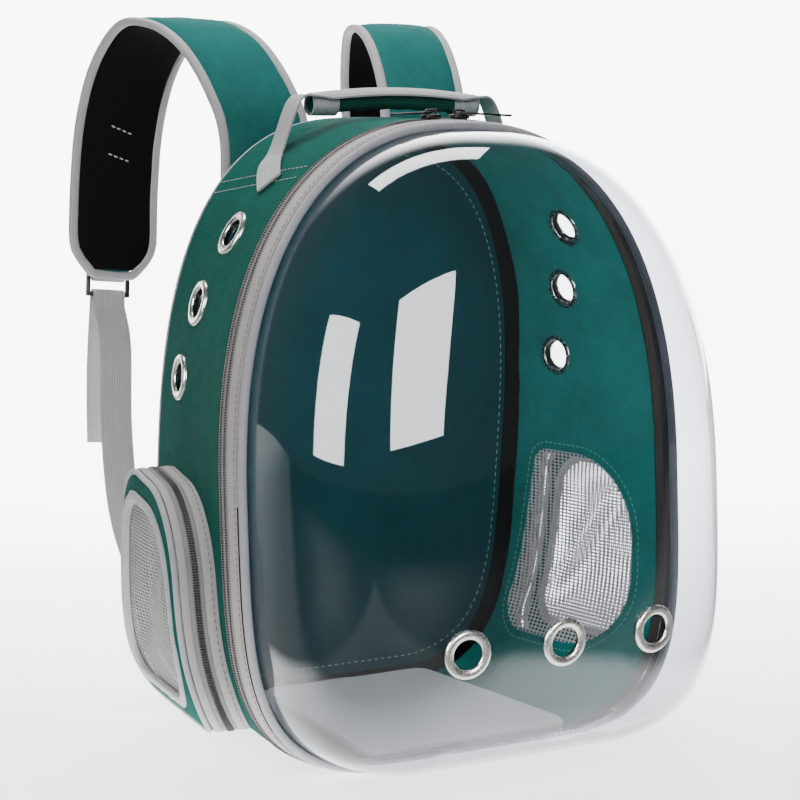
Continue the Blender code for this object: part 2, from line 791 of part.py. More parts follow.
def handle_frame():
    y = wall_y(HANDLE_ACROSS, REAR.top)
    base = roof_height(HANDLE_ACROSS, 0.0) + FINGER_GAP + GRIP_RADIUS
    return y, base


def grip_height(x):
    _, base = handle_frame()
    return base - GRIP_ARCH * (2 * x / GRIP_LENGTH) ** 2


# The grip is a rolled tube, and one webbing runs over it and down both shoulders of the bag.
def build_handle():
    y, _ = handle_frame()
    count = 12
    route = []
    for number in range(count + 1):
        x = GRIP_LENGTH * (number / count - 0.5)
        route.append(Vector((x, y, grip_height(x))))
    tube("handle_grip", route, GRIP_RADIUS, "green", cyclic=False, resolution=2)
    lift = GRIP_RADIUS + GAP + WEBBING / 2
    over = [point + Vector((0.0, 0.0, lift)) for point in route[::2]]
    right = handle_tail(1)
    left = handle_tail(-1)
    centre = left[::-1] + [(point, Vector((0.0, 1.0, 0.0))) for point in over] + right
    path = smooth_route([point for point, _ in centre], 2)
    sides = smooth_route([side for _, side in centre], 2)
    sides = [side.normalized() for side in sides]
    strip("handle_webbing", path, sides, [HANDLE_WEBBING_WIDTH / 2] * len(path), WEBBING, "webbing")


def handle_tail(side):
    y, _ = handle_frame()
    shoulder = grip_height(GRIP_LENGTH / 2) + 0.4 * GRIP_RADIUS
    out = side * (GRIP_LENGTH / 2 + HANDLE_SHOULDER_OUT)
    points = [(Vector((out, y, shoulder)), Vector((0.0, 1.0, 0.0)))]
    top = roof_height(HANDLE_ACROSS, GRIP_LENGTH / 2 + HANDLE_LANDING_OUT)
    forward = HANDLE_TAIL_AHEAD * HANDLE_TAIL_FORWARD / HANDLE_TAIL_DROP
    for share in (0.0, 0.33, 0.66, 1.0):
        z = top - HANDLE_TAIL_DROP * share
        here = y - HANDLE_TAIL_FORWARD * share ** 1.3
        seat = wall_point(side, here, z)
        normal = wall_normal(side, here, z)
        ahead = wall_point(side, here - forward * share ** 0.3, z - HANDLE_TAIL_AHEAD) - seat
        across = normal.cross(ahead).normalized() * side
        if across.y < 0:
            across = -across
        points.append((seat + normal * (4 * GAP + WEBBING / 2), across))
    return points


def strap_base_y(z):
    return rear_y(z) + GAP + BACK_PAD + GAP + STRAP_PAD / 2


def strap_point(side, step):
    z = STRAP_FOOT_HEIGHT + STRAP_RISE * step.rise
    y = strap_base_y(STRAP_FOOT_HEIGHT + STRAP_RISE * STRAP_ROUTE[0].rise) + STRAP_REACH * step.reach
    return Vector((side * (STRAP_SPREAD + STRAP_SPLAY * step.splay), y, z))


def strap_route(side):
    foot = Vector((side * STRAP_SPREAD, strap_base_y(STRAP_FOOT_HEIGHT), STRAP_FOOT_HEIGHT))
    end = strap_point(side, Step(1.0, STRAP_END_REACH, -STRAP_END_DROP / STRAP_RISE))
    points = [foot] + [strap_point(side, step) for step in STRAP_ROUTE] + [end]
    return smooth_route(points, 2)


def strap_sideways(route):
    sides = []
    for number, _ in enumerate(route):
        before = route[max(number - 1, 0)]
        after = route[min(number + 1, len(route) - 1)]
        along = (after - before).normalized()
        across = Vector((1.0, 0.0, 0.0))
        sides.append((across - along * across.dot(along)).normalized())
    return sides


def strap_halves(route):
    left_over = [0.0]
    for one, two in zip(route[::-1], route[-2::-1]):
        left_over.append(left_over[-1] + (two - one).length)
    radius = STRAP_WIDTH / 2
    halves = []
    for distance in left_over[::-1]:
        short = max(radius - distance, 0.0)
        halves.append(max(math.sqrt(radius * radius - short * short), 0.45 * radius))
    return halves


def build_strap(side, word):
    route = strap_route(side)
    sides = strap_sideways(route)
    halves = strap_halves(route)
    strip(f"strap_pad_{word}", route, sides, halves, STRAP_PAD, "green")
    air = STRAP_BINDING + 2 * GAP
    near = [point - across * (half + air) for point, across, half in zip(route, sides, halves)]
    far = [point + across * (half + air) for point, across, half in zip(route, sides, halves)]
    beyond = (route[-1] - route[-2]).normalized() * air
    turn = [near[-1] + beyond, far[-1] + beyond]
    around = near[:-1] + turn + far[:-1][::-1]
    tube(f"strap_binding_{word}", around, STRAP_BINDING, "pale", cyclic=False, resolution=0)


# Where the ladder lock sits: its own axes are across, down and out from the strap's end.
def lock_frame(side):
    route = strap_route(side)
    down = (route[-1] - route[-3]).normalized()
    across = strap_sideways(route)[-1]
    out = down.cross(across).normalized()
    if out.y < 0:
        out = -out
    origin = route[-1] + down * LOCK_BEYOND
    origin += out * (STRAP_PAD / 2 + 2 * GAP + WEBBING / 2 + LOCK_LIFT)
    return origin, across, down, out


def build_lock(side, word):
    origin, across, down, out = lock_frame(side)
    half = WEBBING_WIDTH / 2 + WEBBING_SIDE_AIR
    bar = LOCK_BAR / 2
    low = 2 * bar + LOCK_WINDOW
    lap = 0.1 * LOCK_RAIL
    boxes = [((-half - LOCK_RAIL, -bar, -bar), (half + LOCK_RAIL, bar, bar)),
             ((-half - LOCK_RAIL, low - bar, -bar), (half + LOCK_RAIL, low + bar, bar)),
             ((-half - LOCK_RAIL, bar - lap, -bar), (-half, low - bar + lap, bar)),
             ((half, bar - lap, -bar), (half + LOCK_RAIL, low - bar + lap, bar))]
    order = [boxes[0], boxes[2], boxes[3], boxes[1]]
    made = join_boxes(f"ladder_lock_{word}", order, "black")
    turned = Matrix((across, down, across.cross(down))).transposed().to_4x4()
    made.matrix_world = Matrix.Translation(origin) @ turned


def in_lock(side, drop, rise):
    origin, _, down, out = lock_frame(side)
    return origin + down * drop + out * rise


# Half a turn round one of the lock's bars, from the side at one rise to the other side.
def bar_turn(side, bar_drop, start, end):
    points = []
    for step in range(5):
        angle = math.radians(start + (end - start) * step / 4)
        points.append(in_lock(side, bar_drop + LOCK_LIFT * math.cos(angle), LOCK_LIFT * math.sin(angle)))
    return points


def build_tab(side, word):
    _, across, _, _ = lock_frame(side)
    layer = -LOCK_LIFT + WEBBING + 2 * GAP
    points = [in_lock(side, -TAB_LENGTH, -LOCK_LIFT), in_lock(side, -TAB_NECK, -LOCK_LIFT)]
    points += bar_turn(side, 0.0, -90, 90)
    points += [in_lock(side, -TAB_NECK, LOCK_LIFT - TAB_TAPER), in_lock(side, -TAB_CLOSE, layer),
               in_lock(side, -TAB_LENGTH, layer)]
    half = WEBBING_WIDTH / 2
    strip(f"lock_tab_{word}", points, [across] * len(points), [half] * len(points), WEBBING, "webbing")


def webbing_seat_y(z):
    return rear_y(z) + GAP + BACK_PAD + 2 * GAP + WEBBING / 2


# The webbing hangs slack from the lock to the foot of the back, and its tail hangs beside it.
def build_webbing(side, word):
    _, across, _, _ = lock_frame(side)
    low_bar = LOCK_BAR + LOCK_WINDOW
    foot_top = Vector((side * WEBBING_FOOT_OUT, webbing_seat_y(WEBBING_FOOT_HEIGHT), WEBBING_FOOT_HEIGHT))
    foot_end = foot_top - Vector((side * WEBBING_FOOT_LENGTH, 0.0, 0.0))
    hang = []
    end = strap_route(side)[-1]
    for step in WEBBING_SLACK:
        x = side * (STRAP_SPREAD + STRAP_SPLAY * step.splay)
        y = foot_top.y + (end.y - foot_top.y) * step.reach
        z = foot_top.z + (end.z - foot_top.z) * step.rise
        hang.append(Vector((x, y, z)))
    leave = in_lock(side, low_bar + WEBBING_LEAVE, -LOCK_LIFT)
    upright = Vector((0.0, -REAR_LEAN, 1.0)).normalized()
    turned = across * (-side) if across.dot(Vector((side, 0.0, 0.0))) > 0 else across * side
    knots = [(foot_top, upright)]
    for number, point in enumerate(hang[::-1]):
        share = min((number + 1) / 3, 1.0)
        knots.append((point, upright.lerp(turned, share).normalized()))
    knots.append((leave, turned))
    path = [foot_end] + smooth_route([point for point, _ in knots], 2)
    sides = [upright] + [vector.normalized() for vector in smooth_route([vector for _, vector in knots], 2)]
    turn = bar_turn(side, low_bar, -90, -270)
    tail = []
    for share in (0.12, 0.35, 0.6, 0.8, 1.0):
        bow = WEBBING_TAIL_BOW * math.sin(math.pi * share)
        tail.append(in_lock(side, low_bar + WEBBING_TAIL * share, LOCK_LIFT + bow))
    path += turn + tail
    sides += [turned] * (len(turn) + len(tail))
    half = WEBBING_WIDTH / 2
    strip(f"strap_webbing_{word}", path, sides, [half] * len(path), WEBBING, "webbing")


def shade(made):
    if made.type == "MESH" and len(made.data.polygons) > 30:
        made.data.shade_smooth()
        made.data.set_sharp_from_angle(angle=math.radians(40))


BOX_TREE = BVHTree.FromBMesh(box_surface())
DOME_TREE = BVHTree.FromBMesh(dome_surface())
build_body()
build_hoop()
build_dome()
build_back()
build_floor_pad()
build_grommets()
build_front_sliders()
build_handle()
for SIDE, WORD in ((-1, "left"), (1, "right")):
    build_pocket(SIDE, WORD)
    build_pocket_slider(SIDE, WORD)
    build_strap(SIDE, WORD)
    build_lock(SIDE, WORD)
    build_tab(SIDE, WORD)
    build_webbing(SIDE, WORD)
for MADE in BAG.objects:
    shade(MADE)
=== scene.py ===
# A bubble pet carrier backpack: its cloth, dome, zippers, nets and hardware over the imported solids.
import math
import bpy
import bmesh
from mathutils import Matrix, Vector, noise
from mathutils.bvhtree import BVHTree


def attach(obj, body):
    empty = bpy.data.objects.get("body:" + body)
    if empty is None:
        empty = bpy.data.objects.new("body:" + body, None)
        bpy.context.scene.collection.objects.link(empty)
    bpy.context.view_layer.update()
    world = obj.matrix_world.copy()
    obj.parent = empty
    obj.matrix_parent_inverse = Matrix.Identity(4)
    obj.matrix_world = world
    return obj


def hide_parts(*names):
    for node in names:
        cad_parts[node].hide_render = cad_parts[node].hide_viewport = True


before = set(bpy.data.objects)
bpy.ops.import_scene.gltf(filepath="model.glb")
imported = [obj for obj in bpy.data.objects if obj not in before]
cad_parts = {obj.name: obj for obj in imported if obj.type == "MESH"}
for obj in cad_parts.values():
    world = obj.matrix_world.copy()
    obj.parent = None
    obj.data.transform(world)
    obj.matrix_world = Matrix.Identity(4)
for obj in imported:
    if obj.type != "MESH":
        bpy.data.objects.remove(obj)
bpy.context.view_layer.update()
print("stage: the frame is loaded")

# The bag's own sizes, in metres, as the solids have them.
bag = {
    "floorDepth": 0.176, "frontLean": 0.058, "rearLean": 0.100, "waist": 0.178, "dip": 0.0025,
    "front": (0.170, 0.418, 2.35, 4.0), "rear": (0.146, 0.420, 2.70, 4.0),  # half width, top and two powers
    "hoopDepth": 0.029, "hoopDrop": 0.0075, "piping": 0.0027, "cloth": 0.0025, "air": 0.0003,
}
upAxis = Vector((0.0, 0.0, 1.0))
depthAxis = Vector((0.0, 1.0, 0.0))
widthAxis = Vector((1.0, 0.0, 0.0))


# Working in object and edit mode.
def deselectAll():
    if bpy.context.object and bpy.context.object.mode != "OBJECT":
        bpy.ops.object.mode_set(mode="OBJECT")
    bpy.ops.object.select_all(action="DESELECT")


def pick(piece):
    deselectAll()
    piece.select_set(True)
    bpy.context.view_layer.objects.active = piece


def editAll(piece, *steps):
    pick(piece)
    bpy.ops.object.mode_set(mode="EDIT")
    bpy.ops.mesh.select_all(action="SELECT")
    for step in steps:
        step()
    bpy.ops.object.mode_set(mode="OBJECT")


def mergeDoubles():
    bpy.ops.mesh.remove_doubles(threshold=0.00002)


def faceOut():
    bpy.ops.mesh.normals_make_consistent(inside=False)


def applied(piece, kind, **settings):
    pick(piece)
    modifier = piece.modifiers.new(kind.title(), kind)
    for key, value in settings.items():
        setattr(modifier, key, value)
    bpy.ops.object.modifier_apply(modifier=modifier.name)
    return piece


def smoothShade(piece, degrees=40):
    pick(piece)
    bpy.ops.object.shade_smooth_by_angle(angle=math.radians(degrees))


# A grid primitive whose points are set in their places. Its UV map is in metres along and across.
def gridPiece(name, cols, rows, place, closed=True, away=None):
    deselectAll()
    bpy.ops.mesh.primitive_grid_add(x_subdivisions=cols, y_subdivisions=rows, size=1, calc_uvs=True)
    piece = bpy.context.object
    piece.name = piece.data.name = name
    seats = []
    for vertex in piece.data.vertices:
        seats.append((round((vertex.co.x + 0.5) * cols), round((vertex.co.y + 0.5) * rows)))
    spots = {seat: Vector(place(*seat)) for seat in seats}
    for vertex, seat in zip(piece.data.vertices, seats):
        vertex.co = spots[seat]
    along, across = [0.0], [0.0]
    for i in range(cols):
        along.append(along[-1] + (spots[(i + 1, rows // 3)] - spots[(i, rows // 3)]).length)
    for j in range(rows):
        across.append(across[-1] + (spots[(0, j + 1)] - spots[(0, j)]).length)
    layer = piece.data.uv_layers.active.data
    for loop in piece.data.loops:
        i, j = seats[loop.vertex_index]
        layer[loop.index].uv = (along[i], across[j])
    editAll(piece, mergeDoubles)
    if closed:
        editAll(piece, faceOut)
    if away:
        outwardness = 0.0
        for face in piece.data.polygons:
            outwardness += face.normal.dot(face.center - away(face.center)) * face.area
        if outwardness < 0:
            editAll(piece, bpy.ops.mesh.flip_normals)
    smoothShade(piece)
    return piece


def closeEnds(piece):
    pick(piece)
    bpy.ops.object.mode_set(mode="EDIT")
    bpy.ops.mesh.select_all(action="DESELECT")
    bpy.ops.mesh.select_non_manifold(extend=False)
    bpy.ops.mesh.fill_holes(sides=0)
    bpy.ops.mesh.select_all(action="SELECT")
    bpy.ops.mesh.normals_make_consistent(inside=False)
    bpy.ops.object.mode_set(mode="OBJECT")
    smoothShade(piece)


# A section carried along a route. Sides run across it and outs point out of it.
def sweep(name, route, sides, outs, section, loop=False):
    count = len(route)
    turns = len(section(0))
    sections = [section(i) for i in range(count)]

    def place(i, j):
        i %= count
        aside, above = sections[i][j % turns]
        return route[i] + sides[i] * aside + outs[i] * above
    piece = gridPiece(name, count if loop else count - 1, turns, place)
    if not loop:
        closeEnds(piece)
    return piece


def directionAt(route, i):
    return (route[min(i + 1, len(route) - 1)] - route[max(i - 1, 0)]).normalized()


def ovalSection(halfWide, halfThick, turns=14, power=2.0):
    points = []
    for step in range(turns):
        turn = 2 * math.pi * step / turns
        x, y = math.cos(turn), math.sin(turn)
        points.append((halfWide * math.copysign(abs(x) ** (2 / power), x),
                       halfThick * math.copysign(abs(y) ** (2 / power), y)))
    return points


def frames(route, reference):
    sides, outs = [], []
    for i in range(len(route)):
        along = directionAt(route, i)
        out = reference(i)
        out = (out - along * out.dot(along)).normalized()
        outs.append(out)
        sides.append(along.cross(out).normalized())
    return sides, outs


# One small shape copied to many places, as one piece. The shape itself is removed.
def repeatPiece(name, base, places):
    shape = [vertex.co.copy() for vertex in base.data.vertices]
    faces = [tuple(face.vertices) for face in base.data.polygons]
    points, polygons = [], []
    for place in places:
        start = len(points)
        points += [place @ point for point in shape]
        polygons += [tuple(start + corner for corner in face) for face in faces]
    mesh = bpy.data.meshes.new(name)
    mesh.from_pydata(points, [], polygons)
    piece = bpy.data.objects.new(name, mesh)
    bpy.context.scene.collection.objects.link(piece)
    smoothShade(piece, 60)
    bpy.data.objects.remove(base, do_unlink=True)
    return piece


def bead():
    deselectAll()
    bpy.ops.mesh.primitive_uv_sphere_add(segments=6, ring_count=4, radius=1.0)
    piece = bpy.context.object
    lay = {"value": math.pi / 2, "orient_axis": "Y", "center_override": (0, 0, 0)}
    editAll(piece, lambda: bpy.ops.transform.rotate(**lay))
    return piece


def evenAlong(route, outs, step, loop=False):
    total = list(route) + ([route[0]] if loop else [])
    marks = list(outs) + ([outs[0]] if loop else [])
    lengths = [0.0]
    for one, two in zip(total, total[1:]):
        lengths.append(lengths[-1] + (two - one).length)
    count = max(int(lengths[-1] / step), 1)
    places, seat = [], 0
    for number in range(count):
        wanted = lengths[-1] * (number + 0.5) / count
        while seat < len(total) - 2 and lengths[seat + 1] < wanted:
            seat += 1
        share = (wanted - lengths[seat]) / max(lengths[seat + 1] - lengths[seat], 1e-9)
        along = (total[seat + 1] - total[seat]).normalized()
        out = marks[seat].lerp(marks[seat + 1], share)
        out = (out - along * out.dot(along)).normalized()
        places.append((total[seat].lerp(total[seat + 1], share), along, out))
    return places


def beadPlaces(spots, long, wide, high):
    places = []
    for point, along, out in spots:
        side = along.cross(out)
        turned = Matrix((along * long / 2, side * wide / 2, out * high / 2)).transposed().to_4x4()
        places.append(Matrix.Translation(point) @ turned)
    return places


# Round-topped outlines of the bag, and rings of points on its walls.
def mixed(share):
    return tuple(front + (rear - front) * share for front, rear in zip(bag["front"], bag["rear"]))


def frontY(z):
    return -bag["floorDepth"] / 2 + bag["frontLean"] * z


def rearY(z):
    return bag["floorDepth"] / 2 - bag["rearLean"] * z


def rimY(z):
    return frontY(z) - bag["hoopDepth"]


def wallShare(y, z):
    return (y - frontY(z)) / (rearY(z) - frontY(z))


def wallY(share, z):
    return frontY(z) + (rearY(z) - frontY(z)) * share


def halfWidth(outline, z):
    half, top, topPower, footPower = outline
    if z >= bag["waist"]:
        share, power = (z - bag["waist"]) / (top - bag["waist"]), topPower
    else:
        share, power = (bag["waist"] - z) / (bag["waist"] + bag["dip"]), footPower
    return half * (1 - min(share, 1.0) ** power) ** (1 / power)


def roofHeight(share, x):
    half, top, topPower, _ = mixed(share)
    return bag["waist"] + (top - bag["waist"]) * (1 - min(abs(x) / half, 1.0) ** topPower) ** (1 / topPower)


def evenPoints(fine, count):
    lengths = [0.0]
    for one, two in zip(fine, fine[1:]):
        lengths.append(lengths[-1] + (two - one).length)
    points, place = [], 0
    for number in range(count + 1):
        wanted = lengths[-1] * number / count
        while place < len(fine) - 2 and lengths[place + 1] < wanted:
            place += 1
        share = (wanted - lengths[place]) / max(lengths[place + 1] - lengths[place], 1e-9)
        points.append(fine[place].lerp(fine[place + 1], min(share, 1.0)))
    return points


outlineSet = {"points": 110, "fineSteps": 720}
halfCache = {}


# Half of an outline from the roof's middle to the floor's, at even steps, with the normals out of it.
def halfOutline(outline):
    if outline not in halfCache:
        half, top, topPower, footPower = outline
        fine = []
        for number in range(outlineSet["fineSteps"] + 1):
            turn = math.pi * number / outlineSet["fineSteps"]
            if turn < math.pi / 2:
                power, reach = topPower, top - bag["waist"]
            else:
                power, reach = footPower, -(bag["waist"] + bag["dip"])
            rise = abs(math.cos(turn)) ** (2 / power)
            x = half * abs(math.sin(turn)) ** (2 / power)
            fine.append(Vector((x, max(bag["waist"] + reach * rise, 0.0))))
        fine[0].x = fine[-1].x = 0.0
        points = evenPoints(fine, outlineSet["points"])
        mirrored = [Vector((-points[1].x, points[1].y))] + points + [Vector((-points[-2].x, points[-2].y))]
        normals = []
        for before, after in zip(mirrored, mirrored[2:]):
            along = (after - before).normalized()
            normals.append(Vector((-along.y, along.x)))
        halfCache[outline] = (points, normals)
    return halfCache[outline]


def ring(outline, plane, inset=0.0):
    right = []
    for point, normal in zip(*halfOutline(outline)):
        moved = point - normal * inset
        right.append(Vector((moved.x, plane(moved.y), moved.y)))
    left = [Vector((-point.x, point.y, point.z)) for point in right[1:-1]]
    return right + left[::-1]


def hoopRing(share, lift=0.0):
    drop = (bag["hoopDrop"] - 2 * bag["piping"] - bag["air"]) * share
    return ring(bag["front"], lambda z: frontY(z) - bag["hoopDepth"] * share, drop - lift)


def awayFromAxis(point):
    return Vector((0.0, point.y, bag["waist"]))


# A piece with two materials has the second one on the faces that look into the bag: the lining on the cloth
# box, painted shade on the zipper tapes.
def secondInside(piece):
    for face in piece.data.polygons:
        inward = face.normal.dot(awayFromAxis(face.center) - face.center) > 0
        face.material_index = 1 if inward else 0


# The bag's shells before they are cut, for seating what goes on them.
def treeOf(piece):
    source = bmesh.new()
    source.from_mesh(piece.data)
    tree = BVHTree.FromBMesh(source)
    source.free()
    return tree


def wallPoint(side, y, z):
    return Vector((side * halfWidth(mixed(wallShare(y, z)), z), y, z))


def wallNormal(side, y, z):
    step = 0.001
    along = wallPoint(side, y + step, z) - wallPoint(side, y - step, z)
    upward = wallPoint(side, y, z + step) - wallPoint(side, y, z - step)
    return along.cross(upward).normalized() * side


def seatMatrix(point, normal):
    across = upAxis.cross(normal).normalized()
    up = normal.cross(across)
    return Matrix.Translation(point) @ Matrix((across, up, normal)).transposed().to_4x4()


def cutOut(piece, cutter):
    applied(piece, "BOOLEAN", object=cutter, operation="DIFFERENCE", solver="EXACT")
    bpy.data.objects.remove(cutter, do_unlink=True)


# Colours and materials.
def linear(hexText):
    colour = []
    for start in (1, 3, 5):
        value = int(hexText[start:start + 2], 16) / 255
        colour.append(value / 12.92 if value <= 0.04045 else ((value + 0.055) / 1.055) ** 2.4)
    return tuple(colour) + (1.0,)


def addNode(tree, kind, settings=None, links=None):
    node = tree.nodes.new(kind)
    for key, value in (settings or {}).items():
        if isinstance(key, int) or key in node.inputs:
            node.inputs[key].default_value = value
        else:
            setattr(node, key, value)
    for key, source in (links or {}).items():
        tree.links.new(source, node.inputs[key])
    return node


def newMaterial(name, settings):
    made = bpy.data.materials.new(name)
    made.use_nodes = True
    shader = made.node_tree.nodes["Principled BSDF"]
    for key, value in settings.items():
        shader.inputs[key].default_value = value
    return made, made.node_tree, shader


# A colour that runs between two tones by a factor.
def twoTones(tree, shader, low, high, factor):
    colour = addNode(tree, "ShaderNodeMix", {"data_type": "RGBA", "clamp_factor": True}, {0: factor})
    colour.inputs[6].default_value = linear(low)
    colour.inputs[7].default_value = linear(high)
    tree.links.new(colour.outputs[2], shader.inputs["Base Color"])


def raised(tree, shader, strength, distance, height):
    bump = addNode(tree, "ShaderNodeBump", {"Strength": strength, "Distance": distance}, {"Height": height})
    tree.links.new(bump.outputs[0], shader.inputs["Normal"])
    return bump


# Woven cloth. The weave's threads follow the UV map, which is in metres, and blotches follow the piece.
# Raised threads are drawn lighter and the weave's hollows darker, a painted shade, beside random blotches and
# thread tones.
# A thread is drawn about twice as coarse as it is, so that it shows.
clothSet = {
    "band": 0.314, "distortion": 0.4, "blotchScale": 22.0, "threadScale": 0.18, "weaveShadeShare": 0.55,
    "threadShare": 0.30, "wrinkleScale": 30.0,
}


def clothMaterial(name, low, high, threadMm, rough, sheen, bumpMm, weave="plain", blotch=0.25, wrinkleMm=0.0):
    made, tree, shader = newMaterial(name, {"Roughness": rough, "Sheen Weight": sheen, "Sheen Roughness": 0.5,
                                            "Specular IOR Level": 0.10})
    coord = addNode(tree, "ShaderNodeTexCoord")
    uv, place = coord.outputs["UV"], coord.outputs["Object"]
    turn = math.radians(45) if weave == "twill" else 0.0
    scale = 1000 / threadMm
    spread = addNode(tree, "ShaderNodeMapping", {"Rotation": (0, 0, turn), "Scale": (scale, scale, scale)},
                     {"Vector": uv})
    bands = {}
    for direction in ("X", "Y"):
        settings = {"bands_direction": direction, "Scale": clothSet["band"],
                    "Distortion": clothSet["distortion"], "Detail": 1.0}
        wave = addNode(tree, "ShaderNodeTexWave", settings, {"Vector": spread.outputs[0]})
        bands[direction] = wave.outputs["Fac"]
    if weave in ("rib", "ribAlong"):
        height = bands["X" if weave == "rib" else "Y"]
    else:
        crossed = addNode(tree, "ShaderNodeMath", {"operation": "MULTIPLY"}, {0: bands["X"], 1: bands["Y"]})
        height = crossed.outputs[0]
    cloud = addNode(tree, "ShaderNodeTexNoise",
                    {"Scale": clothSet["blotchScale"], "Detail": 4.0, "Roughness": 0.6}, {"Vector": place})
    thread = addNode(tree, "ShaderNodeTexNoise", {"Scale": scale * clothSet["threadScale"], "Detail": 2.0},
                     {"Vector": uv})
    uneven = addNode(tree, "ShaderNodeMath", {"operation": "MULTIPLY_ADD", 1: blotch, 2: 0.0},
                     {0: cloud.outputs["Fac"]})
    # the weave's relief also sets the colour: painted shade in its hollows
    woven = addNode(tree, "ShaderNodeMath", {"operation": "MULTIPLY_ADD", 1: clothSet["weaveShadeShare"]},
                    {0: height, 2: uneven.outputs[0]})
    factor = addNode(tree, "ShaderNodeMath", {"operation": "MULTIPLY_ADD", 1: clothSet["threadShare"]},
                     {0: thread.outputs["Fac"], 2: woven.outputs[0]})
    twoTones(tree, shader, low, high, factor.outputs[0])
    bump = raised(tree, shader, 0.6, bumpMm / 1000, height)
    if wrinkleMm:
        settings = {"Scale": clothSet["wrinkleScale"], "Detail": 3.0, "Distortion": 1.2}
        folds = addNode(tree, "ShaderNodeTexNoise", settings, {"Vector": place})
        creased = raised(tree, shader, 0.7, wrinkleMm / 1000, folds.outputs["Fac"])
        tree.links.new(bump.outputs[0], creased.inputs["Normal"])
    return made


# Knitted net: slots between thin yarns, left open by the material's alpha.
netSet = {"slotStretch": 0.62, "yarnEdge": (0.14, 0.21)}


def netMaterial(name, low, high, holeMm):
    made, tree, shader = newMaterial(name, {"Roughness": 0.75, "Sheen Weight": 0.2})
    coord = addNode(tree, "ShaderNodeTexCoord")
    scale = 1000 / holeMm
    spread = addNode(tree, "ShaderNodeMapping", {"Scale": (scale * netSet["slotStretch"], scale, 0.0)},
                     {"Vector": coord.outputs["UV"]})
    settings = {"feature": "DISTANCE_TO_EDGE", "Scale": 1.0, "Randomness": 0.0}
    cells = addNode(tree, "ShaderNodeTexVoronoi", settings, {"Vector": spread.outputs[0]})
    yarn, slot = netSet["yarnEdge"]
    holes = addNode(tree, "ShaderNodeMapRange",
                    {"From Min": yarn, "From Max": slot, "To Min": 1.0, "To Max": 0.0},
                    {"Value": cells.outputs["Distance"]})
    cloud = addNode(tree, "ShaderNodeTexNoise", {"Scale": 40.0, "Detail": 3.0},
                    {"Vector": coord.outputs["Object"]})
    twoTones(tree, shader, low, high, cloud.outputs["Fac"])
    tree.links.new(holes.outputs[0], shader.inputs["Alpha"])
    return made


# Short plush pile: soft lumps with a strong sheen.
def plushMaterial(name, low, high):
    made, tree, shader = newMaterial(name, {"Roughness": 1.0, "Sheen Weight": 0.6, "Sheen Roughness": 0.6})
    place = addNode(tree, "ShaderNodeTexCoord").outputs["Object"]
    pile = addNode(tree, "ShaderNodeTexNoise", {"Scale": 500.0, "Detail": 3.0}, {"Vector": place})
    lumps = addNode(tree, "ShaderNodeTexNoise", {"Scale": 45.0, "Detail": 4.0}, {"Vector": place})
    both = addNode(tree, "ShaderNodeMath", {"operation": "MULTIPLY_ADD", 1: 0.5},
                   {0: lumps.outputs["Fac"], 2: pile.outputs["Fac"]})
    twoTones(tree, shader, low, high, both.outputs[0])
    raised(tree, shader, 0.8, 0.0012, both.outputs[0])
    return made


# Clear moulded PET: glossy, with the faint waviness of a vacuum-formed sheet.
def clearMaterial(name, tint):
    made, tree, shader = newMaterial(name, {"Base Color": linear(tint), "Roughness": 0.012, "IOR": 1.575,
                                            "Transmission Weight": 1.0})
    place = addNode(tree, "ShaderNodeTexCoord").outputs["Object"]
    waves = addNode(tree, "ShaderNodeTexNoise", {"Scale": 9.0, "Detail": 1.0}, {"Vector": place})
    raised(tree, shader, 0.08, 0.002, waves.outputs["Fac"])
    return made


# Metal and hard plastic: a plain finish broken up by fine scuffs in its roughness.
def hardMaterial(name, low, high, rough, metallic, scuffMm):
    made, tree, shader = newMaterial(name, {"Metallic": metallic})
    place = addNode(tree, "ShaderNodeTexCoord").outputs["Object"]
    scuffs = addNode(tree, "ShaderNodeTexNoise", {"Scale": 1000 / scuffMm, "Detail": 4.0}, {"Vector": place})
    shine = addNode(tree, "ShaderNodeMapRange", {"To Min": rough * 0.7, "To Max": rough * 1.4},
                    {"Value": scuffs.outputs["Fac"]})
    tree.links.new(shine.outputs[0], shader.inputs["Roughness"])
    twoTones(tree, shader, low, high, scuffs.outputs["Fac"])
    raised(tree, shader, 0.4, 0.00002, scuffs.outputs["Fac"])
    return made


